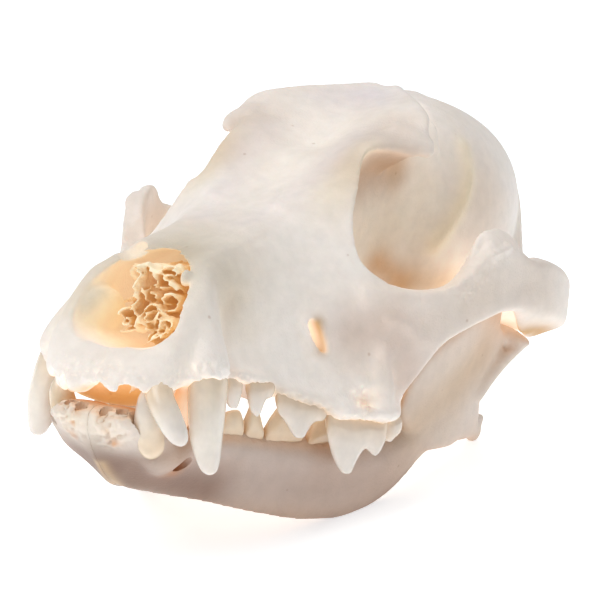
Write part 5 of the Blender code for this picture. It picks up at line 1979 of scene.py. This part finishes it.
    def build(self, shop: Workshop) -> list[Piece]:
        """Shape, tint and set this half of the jaw and its teeth.

        Args:
            shop: The finishes.

        Returns:
            The pieces.
        """
        sign = self.side.value
        body = loft("body", [self.body_ring(y) for y in np.arange(self.first_y, self.last_y, self.spacing)])
        branch = loft("branch", [self.branch_ring(*row) for row in spread(self.branch, self.branch_rings)])
        parts = [body, branch, *(part.on(self.side) for part in self.parts)]
        if self.side is Side.LEFT:
            parts.append(self.canine_root.on(self.side))
        piece = gather(f"mandible_{self.side.word}_bone", parts)
        fuse(piece, self.voxel, self.smoothing)
        sizes = (sorted((sign * self.joint_gap / 2, sign * self.half_x)), self.half_y, self.half_z)
        merge(piece, [block("half", *zip(*sizes))], Merge.KEEP)
        merge(piece, [pit.on(self.side) for pit in self.pits], Merge.CUT)
        if self.side is Side.LEFT:
            merge(piece, [self.chin_joint.on(self.side)], Merge.ADD)
        keep_largest(piece)
        strokes = self.sided(self.strokes())
        carve(piece, strokes)
        thin(piece, self.triangles)
        colour(piece, self.ground, self.sided(self.stains_and_shade()), strokes)
        teeth = [tooth.build("lower", self.side) for tooth in (self.canine, *self.row)]
        for shifted in (piece, *teeth):
            self.slide(shifted)
        self.rest(piece)
        shop.dress(piece, shop.jaw_bone, (f"mandible_{self.side.word}",))
        for tooth in teeth:
            shop.dress(tooth, shop.enamel, ())
        return [piece, *teeth]


@dataclass
class NoseScrolls:
    """The septum and the crumpled, paper-thin scrolls of bone inside the nose."""

    thickness: float = 0.34
    back_y: float = 44.0
    wall_gap: float = 0.6
    crumple: float = 1.0
    seed: int = 11
    steps: int = 30
    voxel: float = 0.22
    triangles: int = 150000
    # sizes of the large and the fine crumples, how much the fine ones count and how torn the front edge is
    wave_size: Place = (2.4, 2.6, 2.4)
    fine_size: Place = (0.9, 1.1, 0.9)
    fine_share: float = 0.35
    tear_size: float = 0.8
    tear: float = 3.4
    tear_reach: float = 6.0
    # how many points each spiral gets and how far it closes in
    spiral_points: int = 34
    spiral_end: float = 0.35
    # plates as spirals: middle x, z, radius, turns, first angle, front y
    scrolls: Rows = (
        (5.4, 21.6, 3.2, 1.3, 20, 15.5), (7.2, 17.4, 2.6, 1.2, 200, 14), (4.6, 13.2, 3.2, 1.5, 80, 13),
        (8, 12.4, 2.2, 1.2, 300, 12.5), (3, 17.6, 2, 1.1, 120, 15), (6.6, 9.6, 1.9, 1.1, 160, 13),
        (-1.2, 12.6, 2.9, 1.4, 250, 12.5), (-4.4, 20.4, 2.6, 1.2, 140, 24), (-5.6, 14, 2.8, 1.2, 60, 25),
    )

    def ribbon(self, name: str, section: Sequence[tuple[float, float]], front: float, seed: float) -> Piece:
        """A thin crumpled plate drawn backwards from its section.

        Args:
            name: The piece's name.
            section: The plate's x and z points.
            front: Where its front edge lies.
            seed: A number that makes its crumples its own.

        Returns:
            The plate as a closed solid.
        """
        form = bmesh.new()
        verts = [form.verts.new((x * MM, front * MM, z * MM)) for x, z in section]
        edges = [form.edges.new(pair) for pair in zip(verts, verts[1:])]
        for _ in range(self.steps):
            grown = bmesh.ops.extrude_edge_only(form, edges=edges)["geom"]
            moved = [item for item in grown if isinstance(item, bmesh.types.BMVert)]
            fresh = set(moved)
            edges = [
                item for item in grown if isinstance(item, bmesh.types.BMEdge) and fresh.issuperset(item.verts)
            ]
            bmesh.ops.translate(form, verts=moved, vec=(0, (self.back_y - front) / self.steps * MM, 0))
        for vert in form.verts:
            place = vert.co / MM
            x, y, z = (part / size for part, size in zip(place, self.wave_size))
            wave = noise.noise_vector(Vector((x + seed, y, z)))
            x, y, z = (part / size for part, size in zip(place, self.fine_size))
            fine = noise.noise_vector(Vector((x, y + seed, z)))
            jag = noise.noise(Vector((place.x / self.tear_size, seed, place.z / self.tear_size))) * self.tear
            near = max(0.0, 1 - (place.y - front) / self.tear_reach)
            shift = wave * self.crumple + fine * self.fine_share
            vert.co += Vector((shift.x, jag * near + shift.y * 0.5, shift.z)) * MM
        bmesh.ops.recalc_face_normals(form, faces=form.faces)
        bmesh.ops.solidify(form, geom=form.faces[:], thickness=self.thickness * MM)
        return new_piece(name, form)

    def build(self, shop: Workshop) -> Piece:
        """Shape, tint and set the scrolls.

        Args:
            shop: The finishes.

        Returns:
            The piece.
        """
        # Blender draws the offsets of its noise from the clock unless it's given a seed
        noise.seed_set(self.seed)
        septum = [(0.3 * math.sin(z / 2.6), z) for z in np.arange(14.6, 24.6, 0.6)]
        plates = [self.ribbon("septum", septum, front=12.6, seed=3.0)]
        for x, z, radius, turns, first, front in self.scrolls:
            start = math.radians(first)
            angles = np.linspace(start, start + turns * 2 * math.pi, self.spiral_points)
            sizes = np.linspace(radius, radius * self.spiral_end, self.spiral_points)
            spiral = [(x + size * math.cos(angle), z + size * math.sin(angle)) for angle, size in zip(angles, sizes)]
            plates.append(self.ribbon("scroll", spiral, front, x * 1.7 + z))
        shelf = [(x, 24.0 - 0.06 * x * x) for x in np.arange(-2.0, 9.0, 0.7)]
        plates.append(self.ribbon("shelf", shelf, front=15.0, seed=8.0))
        piece = gather("nose_scrolls", plates)
        fuse(piece, self.voxel, 1)
        gap = self.wall_gap
        rows = [(0, y, z, wide - gap, high - gap) for _, y, z, wide, high in Cranium().nose_rows[1:]]
        room = sweep("room", rows, count=18, sides=28)
        merge(piece, [room], Merge.KEEP)
        keep_largest(piece)
        thin(piece, self.triangles)
        # cream at the front of the scrolls, golden deeper in: painted shade towards the back of the nose
        stains_and_shade = [
            Stain(((4, 14, 20), (7, 14, 12)), 5, "#F7E8C8", 0.7),
            Stain(((-1, 13, 12), (0, 13, 18)), 3, "#F6E6C6", 0.7),
            Stain(((8.5, 20, 22), (9, 20, 16)), 3.4, "#E8BE78", 0.6),
            Stain(((0, 30, 17), (0, 44, 17)), 9, "#E8BE78", 0.8),
        ]
        colour(piece, "#F5E9CE", stains_and_shade)
        shop.dress(piece, shop.scroll_bone, ("turbinates",))
        return piece


@dataclass(frozen=True)
class Studio:
    """The pale table, the soft light and the camera at the photograph's view."""

    eye_mm: Place = (305.3406, -566.1677, 237.7722)
    back: Place = (0.454207, -0.840311, 0.295929)
    lens_mm: float = 175.961
    paper: str = "#FDFDFC"
    cool: str = "#F0F8FF"
    backlight: float = 0.56
    sky: float = 0.36
    # name, place and side in metres, power in watts, colour
    lamps: tuple[tuple[str, Place, float, float, str], ...] = (
        ("key", (-0.4, -0.7, 1.1), 0.9, 7.6, "#FFFDFB"),
        ("top", (0.1, 0.3, 1.3), 1.1, 5.4, "#FFFFFF"),
    )
    aim: Place = (0, 0, 0.04)
    table_size: float = 4.0

    def camera(self) -> None:
        """Set the camera."""
        data = bpy.data.cameras.new("view")
        data.lens = self.lens_mm
        data.sensor_width = 36.0
        data.clip_start = 0.05
        data.clip_end = 50.0
        camera = bpy.data.objects.new("view", data)
        camera.location = Vector(self.eye_mm) * MM
        camera.rotation_euler = (-Vector(self.back)).to_track_quat("-Z", "Y").to_euler()
        bpy.context.scene.collection.objects.link(camera)
        bpy.context.scene.camera = camera

    def lamp(self, name: str, place: Place, size: float, power: float, colour_hex: str) -> None:
        """Add a soft lamp that faces the skull.

        Args:
            name: The lamp's name.
            place: Where it hangs, in metres.
            size: Its side, in metres.
            power: Its power in watts.
            colour_hex: Its sRGB hex colour.
        """
        data = bpy.data.lights.new(name, "AREA")
        data.shape = "SQUARE"
        data.size = size
        data.energy = power
        data.color = linear(colour_hex)
        lamp = bpy.data.objects.new(name, data)
        lamp.location = place
        lamp.rotation_euler = (Vector(self.aim) - Vector(place)).to_track_quat("-Z", "Y").to_euler()
        bpy.context.scene.collection.objects.link(lamp)

    def table(self) -> Piece:
        """The pale table top, which shines a little, like paper on a light table.

        Returns:
            The table top.
        """
        form = bmesh.new()
        bmesh.ops.create_grid(form, x_segments=1, y_segments=1, size=self.table_size)
        table = new_piece("table_top", form)
        material = bpy.data.materials.new("white_paper")
        material.use_nodes = True
        shader = material.node_tree.nodes["Principled BSDF"]
        shader.inputs["Base Color"].default_value = (*linear(self.paper), 1)
        shader.inputs["Roughness"].default_value = 0.9
        shader.inputs["Emission Color"].default_value = (*linear(self.cool), 1)
        shader.inputs["Emission Strength"].default_value = self.backlight
        table.data.materials.append(material)
        return table

    def build(self) -> None:
        """Set up the studio."""
        self.table()
        self.camera()
        for lamp in self.lamps:
            self.lamp(*lamp)
        world = bpy.data.worlds.new("soft_light")
        world.use_nodes = True
        ground = world.node_tree.nodes["Background"]
        ground.inputs["Color"].default_value = (1, 1, 1, 1)
        ground.inputs["Strength"].default_value = self.sky
        bpy.context.scene.world = world
        bpy.context.scene.view_settings.view_transform = "Standard"


def main() -> None:
    """Build the skull piece by piece and set up the studio."""
    logging.basicConfig(level=logging.INFO, format="%(message)s")
    shop = Workshop.open()
    Cranium().build(shop)
    UpperTeeth().build(shop)
    for side in Side:
        LowerJaw(side, LOWER_CANINES[side]).build(shop)
    NoseScrolls().build(shop)
    Studio().build()


if __name__ == "__main__":
    main()
